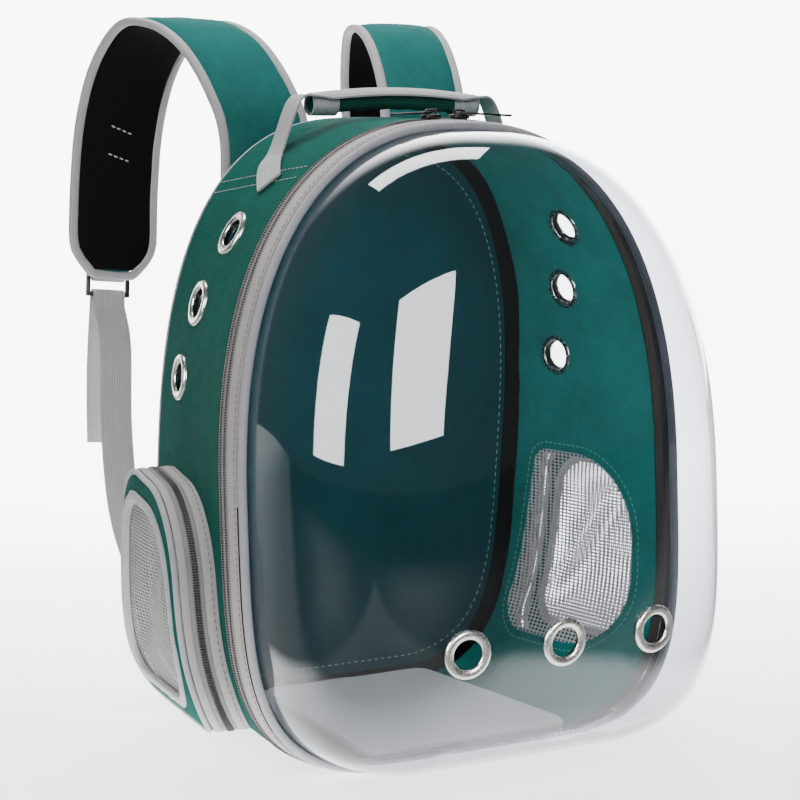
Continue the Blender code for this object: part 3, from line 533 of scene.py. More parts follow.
# Oxford cloth is matt in a coarse plain weave, tape and binding are twill, webbing and coil tape ribbed.
# Cloth takes its name, two tones, thread in mm, roughness, sheen, relief in mm, weave, blotches and wrinkles.
finishes = {
    "oxford": clothMaterial("tealOxfordCloth", "#043B33", "#117668", 1.3, 0.90, 0.0, 0.30, blotch=0.30,
                            wrinkleMm=2.0),
    "strapOxford": clothMaterial("tealStrapCloth", "#155956", "#2A8984", 1.3, 0.90, 0.0, 0.30, blotch=0.30,
                                 wrinkleMm=1.4),
    "lining": clothMaterial("tealPolyesterLining", "#012428", "#034C52", 1.1, 0.70, 0.0, 0.04, blotch=0.55,
                            wrinkleMm=2.6),
    "sideLining": clothMaterial("tealSideLining", "#013331", "#0B8079", 1.1, 0.50, 0.05, 0.05, blotch=0.75,
                                wrinkleMm=3.6),
    "darkBinding": clothMaterial("darkBiasBinding", "#010606", "#041012", 1.0, 0.85, 0.02, 0.20, "twill"),
    "greyTape": clothMaterial("greyZipperTape", "#ADA7A7", "#DED7D8", 1.2, 0.85, 0.02, 0.30, "twill"),
    # the tapes' inner faces: a darker copy of the grey tape, painted shade inside the hoop
    "tapeBackShade": clothMaterial("tapeBackPaintedShade", "#2A2322", "#5A4E4B", 1.2, 0.85, 0.02, 0.30, "twill"),
    "greyZipper": clothMaterial("greyCoilTape", "#827D7E", "#B2ACAD", 1.0, 0.80, 0.02, 0.25, "rib"),
    "paleBinding": clothMaterial("paleBiasBinding", "#B4B3B7", "#DCDCE0", 1.1, 0.80, 0.05, 0.25, "twill"),
    "piping": clothMaterial("silverPipingCloth", "#A3A3A9", "#DCDCE3", 1.1, 0.60, 0.05, 0.20, "twill"),
    "webbing": clothMaterial("greyPolyesterWebbing", "#A4A4A7", "#DADADD", 1.9, 0.80, 0.05, 0.40, "ribAlong"),
    "blackLining": clothMaterial("blackStrapLining", "#020202", "#0A0A0B", 1.6, 0.95, 0.02, 0.45, "twill"),
    "backNet": clothMaterial("blackSpacerNet", "#050606", "#161718", 2.6, 0.95, 0.05, 0.80, "twill"),
    "greyThread": clothMaterial("greySewingThread", "#6C6869", "#8F8B8C", 0.8, 0.65, 0.0, 0.10, "rib"),
    "thread": clothMaterial("paleSewingThread", "#C9C9C9", "#F0F0F0", 0.8, 0.65, 0.0, 0.10, "rib"),
    "darkThread": clothMaterial("tealSewingThread", "#5FA79A", "#A5D3C8", 0.8, 0.65, 0.0, 0.10, "rib"),
    "net": netMaterial("greyKnittedNet", "#8C8E8C", "#BFC1BF", 2.5),
    # the window's net is a paler, pinker copy of the grey net; its paleness is painted light coming through
    # it from outside
    "windowNet": netMaterial("paleKnittedNet", "#A39F9F", "#CFCBCB", 2.5),
    "plush": plushMaterial("palePlush", "#B9BDBA", "#E4E5E3"),
    "clear": clearMaterial("clearPet", "#DCDFE5"),
    "nickel": hardMaterial("nickelPlatedSteel", "#C9C6C0", "#EDEBE6", 0.25, 1.0, 2.0),
    "coil": hardMaterial("blackNylonCoil", "#0D0D0E", "#232325", 0.38, 0.0, 1.5),
    # dark lacquer of the sliders and pulls, also used as painted shade on the grommet barrels
    "lacquer": hardMaterial("blackZincAndPaintedShade", "#0B0B0C", "#1F1F21", 0.30, 0.4, 1.5),
    "acetal": hardMaterial("blackAcetal", "#0C0C0D", "#1D1D1E", 0.45, 0.0, 1.2),
}


def dress(piece, finish, nodes=(), body="bag"):
    piece.data.materials.clear()
    for key in ((finish,) if isinstance(finish, str) else finish):
        piece.data.materials.append(finishes[key])
    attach(piece, body)
    if nodes:
        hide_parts(*nodes)
    return piece


def ripple(point, size, height, seed=0.0):
    return height * noise.noise(Vector((point.x / size + seed, point.y / size, point.z / size)))


print("stage: materials are made")

# The camera stands where the photograph was taken from.
cameraSet = {"target": (-0.0409, -0.0812, 0.2364), "from": (-0.7357, -1.2846, 0.4070), "lens": 96.9}
deselectAll()
bpy.ops.object.camera_add(location=cameraSet["from"])
camera = bpy.context.object
cameraAim = Vector(cameraSet["target"]) - Vector(cameraSet["from"])
camera.rotation_euler = cameraAim.to_track_quat("-Z", "Y").to_euler()
camera.data.lens = cameraSet["lens"]
camera.data.sensor_width = 36
camera.data.sensor_fit = "HORIZONTAL"
bpy.context.scene.camera = camera

# The cloth box: one band of oxford cloth over sides, roof and floor, with soft ripples between its seams.
boxSet = {"rows": 34, "ripple": 0.0011, "rippleSize": 0.055, "pucker": 0.0005, "puckerEvery": 0.011,
          "pointEvery": 0.0113, "seamReach": 0.06, "flatBelow": 0.004, "softFrom": 0.05}
grommetSet = {"seat": 0.0132, "press": 0.032, "hole": 0.0096, "rim": 0.0155, "wall": 0.0010, "washer": 0.0146,
              "lift": 0.0006, "slack": 0.0004, "sunk": 0.0014, "flat": 0.006, "cut": 0.0026, "cutDeep": 0.03,
              "near": 0.02, "barrel": 0.0013, "crest": 0.62, "domeWall": 0.002, "turns": 64}
sideGrommets = ((0.39, 0.8215), (0.56, 0.711), (0.675, 0.591))  # shares of the wall's depth and height


def boxRing(share):
    return ring(mixed(share), lambda z: wallY(share, z))


boxRings = [boxRing(j / boxSet["rows"]) for j in range(boxSet["rows"] + 1)]
rightNormals = [Vector((normal.x, 0.0, normal.y)) for normal in halfOutline(mixed(0.5))[1]]
boxNormals = rightNormals + [Vector((-normal.x, 0.0, normal.z)) for normal in rightNormals[1:-1]][::-1]
ringCount = len(boxRings[0])


def boxPlace(i, j):
    i %= ringCount
    point = boxRings[j][i]
    if point.z < boxSet["flatBelow"]:
        return point
    share = j / boxSet["rows"]
    middle = math.sin(math.pi * share)
    rise = min(point.z / boxSet["softFrom"], 1.0)
    soft = ripple(point, boxSet["rippleSize"], boxSet["ripple"], 3.0) * middle * rise
    seam = math.exp(-share / boxSet["seamReach"]) + math.exp(-(1 - share) / boxSet["seamReach"])
    puckerTurn = i * 2 * math.pi * boxSet["pointEvery"] / boxSet["puckerEvery"]
    pinch = boxSet["pucker"] * math.sin(puckerTurn + 3 * noise.noise(point * 20)) * seam * (1 - seam * 0.4)
    return point + boxNormals[i] * (soft - abs(pinch))


boxCloth = gridPiece("bagCloth", ringCount, boxSet["rows"], boxPlace, closed=False, away=awayFromAxis)
boxTree = treeOf(boxCloth)


def meanSeat(tree, start, ahead, across):
    upward = ahead.cross(across)
    hits = []
    for number in range(12):
        turn = 2 * math.pi * number / 12
        aside = (across * math.cos(turn) + upward * math.sin(turn)) * grommetSet["seat"]
        hits.append(tree.ray_cast(start + aside, ahead)[0])
    middle = sum(hits, Vector()) / len(hits)
    normal = Vector()
    for one, two in zip(hits, hits[1:] + hits[:1]):
        normal += (one - middle).cross(two - middle)
    return middle, normal.normalized()


def sideSeat(side, across, up):
    z = up * mixed(across)[1]
    return meanSeat(boxTree, Vector((0.0, wallY(across, z), z)), widthAxis * side, depthAxis)


def holeCutter(point, normal):
    deselectAll()
    bpy.ops.mesh.primitive_cylinder_add(vertices=40, radius=grommetSet["hole"] + grommetSet["cut"],
                                        depth=grommetSet["cutDeep"])
    cutter = bpy.context.object
    cutter.matrix_world = seatMatrix(point, normal)
    return cutter


# Side pockets. A corner has its share of the wall's depth, and its height and radius as pocket shares.
pocketSet = {
    "foot": 0.022, "height": 0.168, "out": 0.028, "piping": 0.0020, "pipingSwell": 1.03, "face": 0.0015,
    "base": 0.008, "zipper": 0.010, "tape": 0.0012, "raised": 0.0004, "cutter": 0.012, "seatGap": 0.0009,
    "points": 120, "cornerSteps": 12, "netRows": 22, "faceSteps": 8, "puff": 0.0012, "windowSeam": 0.0075,
    "netMargin": 0.0022, "netSag": 0.0045, "windowNetMargin": 0.0024, "windowNetSag": 0.0018,
    "corners": ((0.955, 0.00, 0.179), (0.930, 1.00, 0.214), (0.090, 0.93, 0.393), (0.030, 0.00, 0.214)),
    "window": ((0.880, 0.115, 0.119), (0.850, 0.885, 0.179), (0.185, 0.830, 0.321), (0.105, 0.115, 0.214)),
    "wallWindow": ((0.890, 0.105, 0.119), (0.800, 0.905, 0.071), (0.170, 0.905, 0.333),
                   (0.145, 0.105, 0.298)),
    "edging": ((0.0046, 0.0006), (0.0044, 0.0017), (0.0024, 0.0022), (0.0, 0.0023), (-0.0018, 0.0018),
               (-0.0028, 0.0006), (-0.0028, -0.0022), (-0.0010, -0.0028), (0.0010, -0.0026)),  # out, height
}


def roundedOutline(corners, grow=0.0):
    middleZ = pocketSet["foot"] + pocketSet["height"] / 2
    centre = Vector((wallY(0.5, middleZ), middleZ))
    sharp = []
    for across, up, _ in corners:
        z = pocketSet["foot"] + pocketSet["height"] * up
        sharp.append(Vector((wallY(across, z), z)))
    fine = []
    for number, (_, _, radiusShare) in enumerate(corners):
        radius = radiusShare * pocketSet["height"]
        here = sharp[number]
        back = (sharp[number - 1] - here).normalized()
        ahead = (sharp[(number + 1) % len(corners)] - here).normalized()
        halfAngle = back.angle(ahead) / 2
        middle = here + (back + ahead).normalized() * radius / math.sin(halfAngle)
        start = here + back * radius / math.tan(halfAngle) - middle
        end = here + ahead * radius / math.tan(halfAngle) - middle
        for step in range(pocketSet["cornerSteps"] + 1):
            spoke = start.lerp(end, step / pocketSet["cornerSteps"]).normalized()
            fine.append(middle + spoke * (radius + grow))
    fine.append(fine[0].copy())
    return evenPoints(fine, pocketSet["points"])[:-1], centre


def outward(side):
    return Vector((side, (bag["front"][0] - bag["rear"][0]) / bag["floorDepth"], 0.0)).normalized()


def pocketPoint(side, place, height):
    return wallPoint(side, place.x, place.y) + outward(side) * height


def pocketRing(side, corners, height, grow=0.0):
    points, _ = roundedOutline(corners, grow)
    return [pocketPoint(side, place, height) for place in points]


# A closed band or an open strip through rings that have the same number of points.
def ringsPiece(name, rings, closed=True):
    count = len(rings[0])
    rows = len(rings) if closed else len(rings) - 1
    return gridPiece(name, count, rows, lambda i, j: rings[j % len(rings)][i % count], closed=closed)


def windowCutter(side):
    depths = (-pocketSet["cutter"], pocketSet["cutter"])
    rings = [pocketRing(side, pocketSet["wallWindow"], depth) for depth in depths]
    cutter = ringsPiece("windowCutter", rings, False)
    closeEnds(cutter)
    return cutter


# A grommet squeezes the cloth flat around its hole.
def pressFlat(piece, point, normal):
    slope = grommetSet["press"] - grommetSet["rim"] - grommetSet["flat"]
    for vertex in piece.data.vertices:
        offset = vertex.co - point
        height = offset.dot(normal)
        reach = (offset - normal * height).length
        if abs(height) < grommetSet["near"] and reach < grommetSet["press"]:
            share = min((grommetSet["press"] - reach) / slope, 1.0)
            vertex.co -= normal * height * share


grommetSeats = {}
for side, word in ((-1, "left"), (1, "right")):
    for number, (across, up) in enumerate(sideGrommets):
        seat = sideSeat(side, across, up)
        grommetSeats[f"side_grommet_{word}_{number + 1}"] = seat
        pressFlat(boxCloth, *seat)
applied(boxCloth, "SOLIDIFY", thickness=bag["cloth"] - bag["air"], offset=-1.0, use_even_offset=True)
for name, (point, normal) in grommetSeats.items():
    cutOut(boxCloth, holeCutter(point, normal))
for side in (-1, 1):
    cutOut(boxCloth, windowCutter(side))
dress(boxCloth, ("oxford", "sideLining"), ["body_shell"])
secondInside(boxCloth)
smoothShade(boxCloth, 35)
print("stage: the cloth box is sewn and cut")


# Closed bands that follow the hoop or a pocket: a small table of share or height against lift.
def hoopBand(name, profile):
    return ringsPiece(name, [hoopRing(share, lift) for share, lift in profile])


def ringOuts(points):
    outs = []
    for number, point in enumerate(points):
        along = (points[(number + 1) % len(points)] - points[number - 1]).normalized()
        out = point - awayFromAxis(point)
        outs.append((out - along * out.dot(along)).normalized())
    return outs


def pipingCord(name, points, outs, side, oval):
    return sweep(name, points, [side] * len(points), outs, lambda i: oval, True)


# A row of stitches. A stitch has its length, the gap to the next one, its width and its height.
def sewnLine(name, points, outs, stitch, finish="thread", loop=True):
    long, gap, wide, high = stitch
    base = bead()
    spots = evenAlong(points, outs, long + gap, loop)
    line = repeatPiece(name, base, beadPlaces(spots, long, wide, high))
    return dress(line, finish)


def coilTeeth(name, rows, pitch, long, wide, high):
    base = bead()
    places = []
    for points, outs in rows:
        for point, along, out in evenAlong(points, outs, pitch, True):
            side = along.cross(out)
            places += beadPlaces([(point, side, out)], long, wide, high)
    teeth = repeatPiece(name, base, places)
    return dress(teeth, "coil")


hoopSet = {
    "zipperEnd": 0.40, "tapeEnd": 0.80, "coilSpots": (0.12, 0.30), "pitch": 0.0017, "toothLong": 0.0026,
    "toothWide": 0.0012, "toothHigh": 0.0012, "stitch": 0.0030, "stitchGap": 0.0014, "stitchSpot": 0.735,
    "under": -0.0014, "low": -0.0002, "edge": -0.0001, "high": 0.0002, "pipingSwell": (1.02, 1.04),
}
edgeShare = bag["air"] / bag["hoopDepth"]
start, end, low, under = 3 * edgeShare, hoopSet["zipperEnd"], hoopSet["low"], hoopSet["under"]
zipperTape = hoopBand("frontZipperTape", (
    (start, low), (0.10, 0.0001), (0.21, -0.0004), (0.32, 0.0001), (end, low),
    (end, under), (0.21, under), (start, under)))
dress(zipperTape, ("greyZipper", "tapeBackShade"), ["front_zipper"])
secondInside(zipperTape)
rows = []
for share in hoopSet["coilSpots"]:
    points = hoopRing(share, hoopSet["high"])
    rows.append((points, ringOuts(points)))
coilTeeth("frontZipperTeeth", rows, hoopSet["pitch"], hoopSet["toothLong"], hoopSet["toothWide"],
          hoopSet["toothHigh"])
start, end = hoopSet["zipperEnd"] + edgeShare, hoopSet["tapeEnd"]
edge, high = hoopSet["edge"], hoopSet["high"]
frontTape = hoopBand("frontTapeCloth", (
    (start, edge), (0.46, high), (0.58, 0.0003), (0.70, high), (end, edge),
    (end, under), (0.6, under), (start, under)))
dress(frontTape, ("greyTape", "tapeBackShade"), ["front_tape"])
secondInside(frontTape)
points = hoopRing(hoopSet["stitchSpot"], hoopSet["high"])
sewnLine("frontTapeStitches", points, ringOuts(points),
         (hoopSet["stitch"], hoopSet["stitchGap"], 0.0007, 0.0006), "greyThread")
pipingShare = hoopSet["tapeEnd"] + edgeShare + bag["piping"] / bag["hoopDepth"]
points = hoopRing(pipingShare, -bag["piping"])
pipingOval = ovalSection(*[bag["piping"] * swell for swell in hoopSet["pipingSwell"]], 12)
frontPiping = pipingCord("frontPipingCord", points, ringOuts(points), depthAxis, pipingOval)
dress(frontPiping, "piping", ["front_piping"])
print("stage: the front hoop is made")

# The clear dome: a formed sheet that bulges from its flange.
domeSet = {"depth": 0.106, "power": 3.0, "wall": 0.0018, "centre": 0.190, "flange": 0.012, "rows": 54,
           "flangeIn": 0.0015, "flangeBend": 0.6, "fineSteps": 600, "grommetSpread": 0.069,
           "grommetHeight": 0.098}
curve = []
for number in range(domeSet["fineSteps"] + 1):
    turn = math.pi / 2 * number / domeSet["fineSteps"]
    curve.append(Vector((math.cos(turn) ** (2 / domeSet["power"]) * bag["front"][0],
                         math.sin(turn) ** (2 / domeSet["power"]) * domeSet["depth"])))
curve[-1].x = 0.0
domeSteps = evenPoints(curve, domeSet["rows"])
flangeInset = domeSet["flangeIn"] + bag["hoopDrop"] / 2
domeFlange = ring(bag["front"], lambda z: rimY(z) + domeSet["flange"], flangeInset)
domeEdge = ring(bag["front"], rimY, bag["hoopDrop"])


def domePlace(i, j):
    i %= ringCount
    if j == 0:
        return domeFlange[i]
    if j == 1:
        return domeFlange[i].lerp(domeEdge[i], domeSet["flangeBend"])
    step = domeSteps[j - 2]
    scale, edge = step.x / bag["front"][0], domeEdge[i]
    return Vector((edge.x * scale, rimY(edge.z) * scale + rimY(domeSet["centre"]) * (1 - scale) - step.y,
                   domeSet["centre"] + (edge.z - domeSet["centre"]) * scale))


dome = gridPiece("clearDomeSheet", ringCount, domeSet["rows"] + 2, domePlace, closed=False,
                 away=lambda point: Vector((0.0, 0.0, domeSet["centre"])))
domeTree = treeOf(dome)
applied(dome, "SOLIDIFY", thickness=domeSet["wall"], offset=-1.0, use_even_offset=True)
for number, x in enumerate((-domeSet["grommetSpread"], 0.0, domeSet["grommetSpread"])):
    seat = meanSeat(domeTree, Vector((x, 0.0, domeSet["grommetHeight"])), -depthAxis, widthAxis)
    grommetSeats[f"dome_grommet_{number + 1}"] = seat
    cutOut(dome, holeCutter(*seat))
dress(dome, "clear", ["clear_dome"])
smoothShade(dome, 50)

# Grommets: a rolled rim outside, a barrel through the wall and a washer inside, turned in one piece. The
# barrel's faces take the dark lacquer as painted shade inside the hole.
def grommetProfile(onDome):
    hole, rim, lift, wall = grommetSet["hole"], grommetSet["rim"], grommetSet["lift"], grommetSet["wall"]
    low = -(grommetSet["domeWall"] if onDome else bag["cloth"]) - grommetSet["slack"]
    crest = hole + grommetSet["crest"] * (rim - hole)
    barrel = hole + grommetSet["barrel"]
    profile = [(barrel, low - wall * 0.3), (barrel, lift - 1.2 * wall), (hole + 0.0004, lift - 0.3 * wall),
               (hole, lift + 0.3 * wall)]
    for step in range(1, 5):
        turn = math.pi / 2 * step / 5
        profile.append((crest - (crest - hole) * math.cos(turn), lift + wall * (0.3 + 1.4 * math.sin(turn))))
    for step in range(5):
        turn = math.pi / 2 * step / 4
        profile.append((crest + (rim - crest) * math.sin(turn), lift + 1.7 * wall * math.cos(turn)))
    washer = grommetSet["washer"]
    skirt = lift - 0.0003 if onDome else -grommetSet["sunk"]  # on a side the rim is pressed into the cloth
    profile += [(rim, skirt), (barrel + wall, skirt), (barrel + wall, low), (washer, low),
                (washer - 0.0003, low - 0.6 * wall), (washer - 0.0014, low - wall),
                (barrel + 0.0012, low - 1.1 * wall), (barrel + 0.0004, low - 0.8 * wall)]
    return profile, (low, lift - 0.5 * wall, barrel + 0.0003)


for name, (point, normal) in grommetSeats.items():
    profile, (barrelLow, barrelHigh, barrelOut) = grommetProfile(name.startswith("dome"))
    seat = seatMatrix(point, normal)

    def lathe(i, j, profile=profile, seat=seat):
        radius, height = profile[j % len(profile)]
        turn = 2 * math.pi * (i % grommetSet["turns"]) / grommetSet["turns"]
        return seat @ Vector((radius * math.cos(turn), radius * math.sin(turn), height))
    title = "vent" + "".join(word.title() for word in name.split("_"))
    grommet = gridPiece(title, grommetSet["turns"], len(profile), lathe)
    dress(grommet, ("nickel", "lacquer"), [name])
    home = seat.inverted()
    # the barrel's faces take the dark second material: painted shade inside the hole
    for face in grommet.data.polygons:
        spot = home @ face.center
        barrelShadeFace = spot.xy.length < barrelOut and barrelLow < spot.z < barrelHigh
        face.material_index = 1 if barrelShadeFace else 0
print("stage: the dome and the grommets are made")

# The padded back, its piping, the binding in its inner corner and the floor pad.
backSet = {
    "pad": 0.012, "piping": 0.0022, "pipingSwell": 1.03, "rings": 46, "middle": 0.205, "channel": 0.0040,
    "channels": (-0.048, 0.048), "levels": (0.10, 0.20, 0.30), "channelWide": 0.006, "levelShare": 0.7,
    "ripple": 0.0014, "rippleSize": 0.05, "crownEdge": 0.10, "edgeHeight": 0.12, "fold": 0.0085,
    "stitchScale": 0.93,
}
backOuter = 2 * backSet["piping"] + 2 * bag["air"]
backEdge = ring(bag["rear"], lambda z: 0.0, backOuter)
backMiddle = Vector((0.0, 0.0, backSet["middle"]))


def backSpot(i, scale, lift):
    spot = backMiddle.lerp(backEdge[i % ringCount], scale)
    return Vector((spot.x, rearY(spot.z) + bag["air"] + lift, spot.z))


def backPuff(x, z):
    gap = min(abs(x - channel) for channel in backSet["channels"])
    beside = abs(x) > backSet["channels"][1]
    cross = min(abs(z - level) for level in backSet["levels"]) if beside else 1.0
    dent = math.exp(-(gap / backSet["channelWide"]) ** 2)
    dent += backSet["levelShare"] * math.exp(-(cross / backSet["channelWide"]) ** 2)
    return -backSet["channel"] * min(dent, 1.0)


def backPlace(i, j):
    rings = backSet["rings"]
    inner = rings // 2
    if j <= inner:
        scale = (j / inner) ** 0.8
        spot = backSpot(i, scale * 0.995, 0.0)
        spot.y += abs(ripple(spot, backSet["rippleSize"], backSet["ripple"], 9.0)) * (1 - scale ** 4)
        return spot
    share = (rings - j) / (rings - inner)
    scale = share ** 0.7
    edge = min((1 - scale) / backSet["crownEdge"], 1.0)
    crown = math.sin(edge * math.pi / 2)
    spot = backSpot(i, scale, 0.0)
    full = backSet["edgeHeight"] + (1 - backSet["edgeHeight"]) * crown
    spot.y += backSet["pad"] * full + backPuff(spot.x, spot.z) * crown
    return spot


back = gridPiece("backPad", ringCount, backSet["rings"], backPlace)
dress(back, ("lining", "backNet"), ["back_panel"])
for face in back.data.polygons:
    face.material_index = 1 if face.normal.y > 0.05 else 0
pipingOff = backSet["piping"] + bag["air"]
points = ring(bag["rear"], lambda z: rearY(z) + bag["air"] + backSet["piping"], pipingOff)
backOval = ovalSection(*[backSet["piping"] * backSet["pipingSwell"]] * 2, 12)
cord = pipingCord("backPipingCord", points, ringOuts(points), depthAxis, backOval)
dress(cord, "paleBinding", ["back_piping"])

# The corner's binding is a soft fold: rows of share of the wall's depth against depth off the cloth.
inset = bag["cloth"] + 3 * bag["air"]
nearShare = 1 - bag["air"] / bag["floorDepth"]
foldShare = 1 - backSet["fold"] / bag["floorDepth"]
cornerFold = ((nearShare, 0.0), (foldShare, 0.0), (foldShare + 0.003, 0.0016), (foldShare + 0.014, 0.0034),
              (foldShare + 0.028, 0.0052), (foldShare + 0.040, 0.0066), (nearShare, 0.0078))
cornerRings = []
for share, depth in cornerFold:
    cornerRings.append(ring(mixed(share), lambda z, share=share: wallY(share, z), inset + depth))


def cornerPlace(i, j):
    i, j = i % ringCount, j % len(cornerFold)
    point = cornerRings[j][i].copy()
    if 0 < j < 6:
        point.y += ripple(point, 0.045, 0.0030, 4.0) + ripple(point, 0.012, 0.0008, 6.0)
    return point


corner = gridPiece("cornerBindingTape", ringCount, len(cornerFold), cornerPlace)
dress(corner, "darkBinding", ["corner_binding"])

padSet = {
    "thick": 0.009, "sideAir": 0.003, "rearAir": 0.012, "points": 160, "smoothings": 8, "ripple": 0.0011,
    "rippleSize": 0.03, "topScale": 0.955, "topRows": 26,
}
padLow = bag["hoopDrop"] / 2 + bag["air"]


def padHalf(y):
    under = padLow - bag["cloth"] - padSet["sideAir"] / 2
    return halfWidth(mixed(max(wallShare(y, padLow), 0.0)), under) - padSet["sideAir"]


padFront = rimY(padLow + padSet["thick"]) + domeSet["flange"] + 2 * bag["air"]
padRear = rearY(padLow + padSet["thick"]) - padSet["rearAir"] - 2 * bag["air"]
padCorners = []
for y, hand in ((padFront, -1), (padFront, 1), (0.0, 1), (padRear, 1), (padRear, -1), (0.0, -1)):
    padCorners.append(Vector((hand * padHalf(y), y)))
padLine = evenPoints(padCorners + [padCorners[0]], padSet["points"])[:-1]
for _ in range(padSet["smoothings"]):
    laps = zip(padLine[-1:] + padLine[:-1], padLine, padLine[1:] + padLine[:1])
    padLine = [(before + here * 2 + after) / 4 for before, here, after in laps]
padMiddle = Vector((0.0, (padFront + padRear) / 2))
padProfile = [(0.0, 0.0), (0.5, 0.0), (0.97, 0.0), (0.99, 0.12), (1.0, 0.35), (1.0, 0.6), (0.985, 0.85),
              (padSet["topScale"], 0.97)]
for step in range(1, padSet["topRows"] + 1):
    padProfile.append((padSet["topScale"] * (1 - step / padSet["topRows"]), 1.0))


def padPlace(i, j):
    scale, rise = padProfile[j]
    spot = padMiddle.lerp(padLine[i % len(padLine)], scale)
    z = padLow + padSet["thick"] * rise
    if rise >= 0.97:
        flat = Vector((spot.x, spot.y, 0.0))
        z += ripple(flat, padSet["rippleSize"], padSet["ripple"], 5.0) - bag["air"]
    return Vector((spot.x, spot.y, z))


pad = gridPiece("floorCushion", len(padLine), len(padProfile) - 1, padPlace)
dress(pad, "plush", ["floor_pad"])
print("stage: the back and the floor pad are made")


# Side pockets: bands, zipper, piping, face, binding and nets.
def pocketBand(name, side, profile):
    rings = [pocketRing(side, pocketSet["corners"], height, grow) for height, grow in profile]
    return ringsPiece(name, rings)


def pocketOuts(side, points):
    middle = sum(points, Vector()) / len(points)
    push = outward(side)
    outs = []
    for point in points:
        out = point - middle
        outs.append((out - push * out.dot(push)).normalized())
    return outs


# A net hangs slack in its frame, with one soft slanting fold. Its UV map is flat, so its yarns stay square.
netFold = {"slant": (0.8, 0.6), "aside": 0.012, "wide": 0.010, "slack": 0.55, "deep": 0.9, "ripple": 0.0012,
           "rippleSize": 0.03}


def netSheet(name, side, corners, grow, seat, sag, finish, node):
    outline, centre = roundedOutline(corners, grow)

    def place(i, j):
        scale = 1 - j / pocketSet["netRows"]
        spot = centre.lerp(outline[i % len(outline)], scale)
        slack = 1 - scale ** 3
        across = (spot.x - centre.x) * netFold["slant"][0] + (spot.y - centre.y) * netFold["slant"][1]
        fold = math.exp(-((across - netFold["aside"]) / netFold["wide"]) ** 2)
        wave = ripple(Vector((spot.x, spot.y, side)), netFold["rippleSize"], netFold["ripple"])
        drop = sag * slack * (netFold["slack"] + netFold["deep"] * fold) + wave * slack
        return seat(spot, drop)
    net = gridPiece(name, len(outline), pocketSet["netRows"], place, closed=False,
                    away=lambda point: Vector((0.0, point.y, point.z)))
    layer = net.data.uv_layers.active.data
    for loop in net.data.loops:
        point = net.data.vertices[loop.vertex_index].co
        layer[loop.index].uv = (point.y, point.z)
    dress(net, finish, [node])


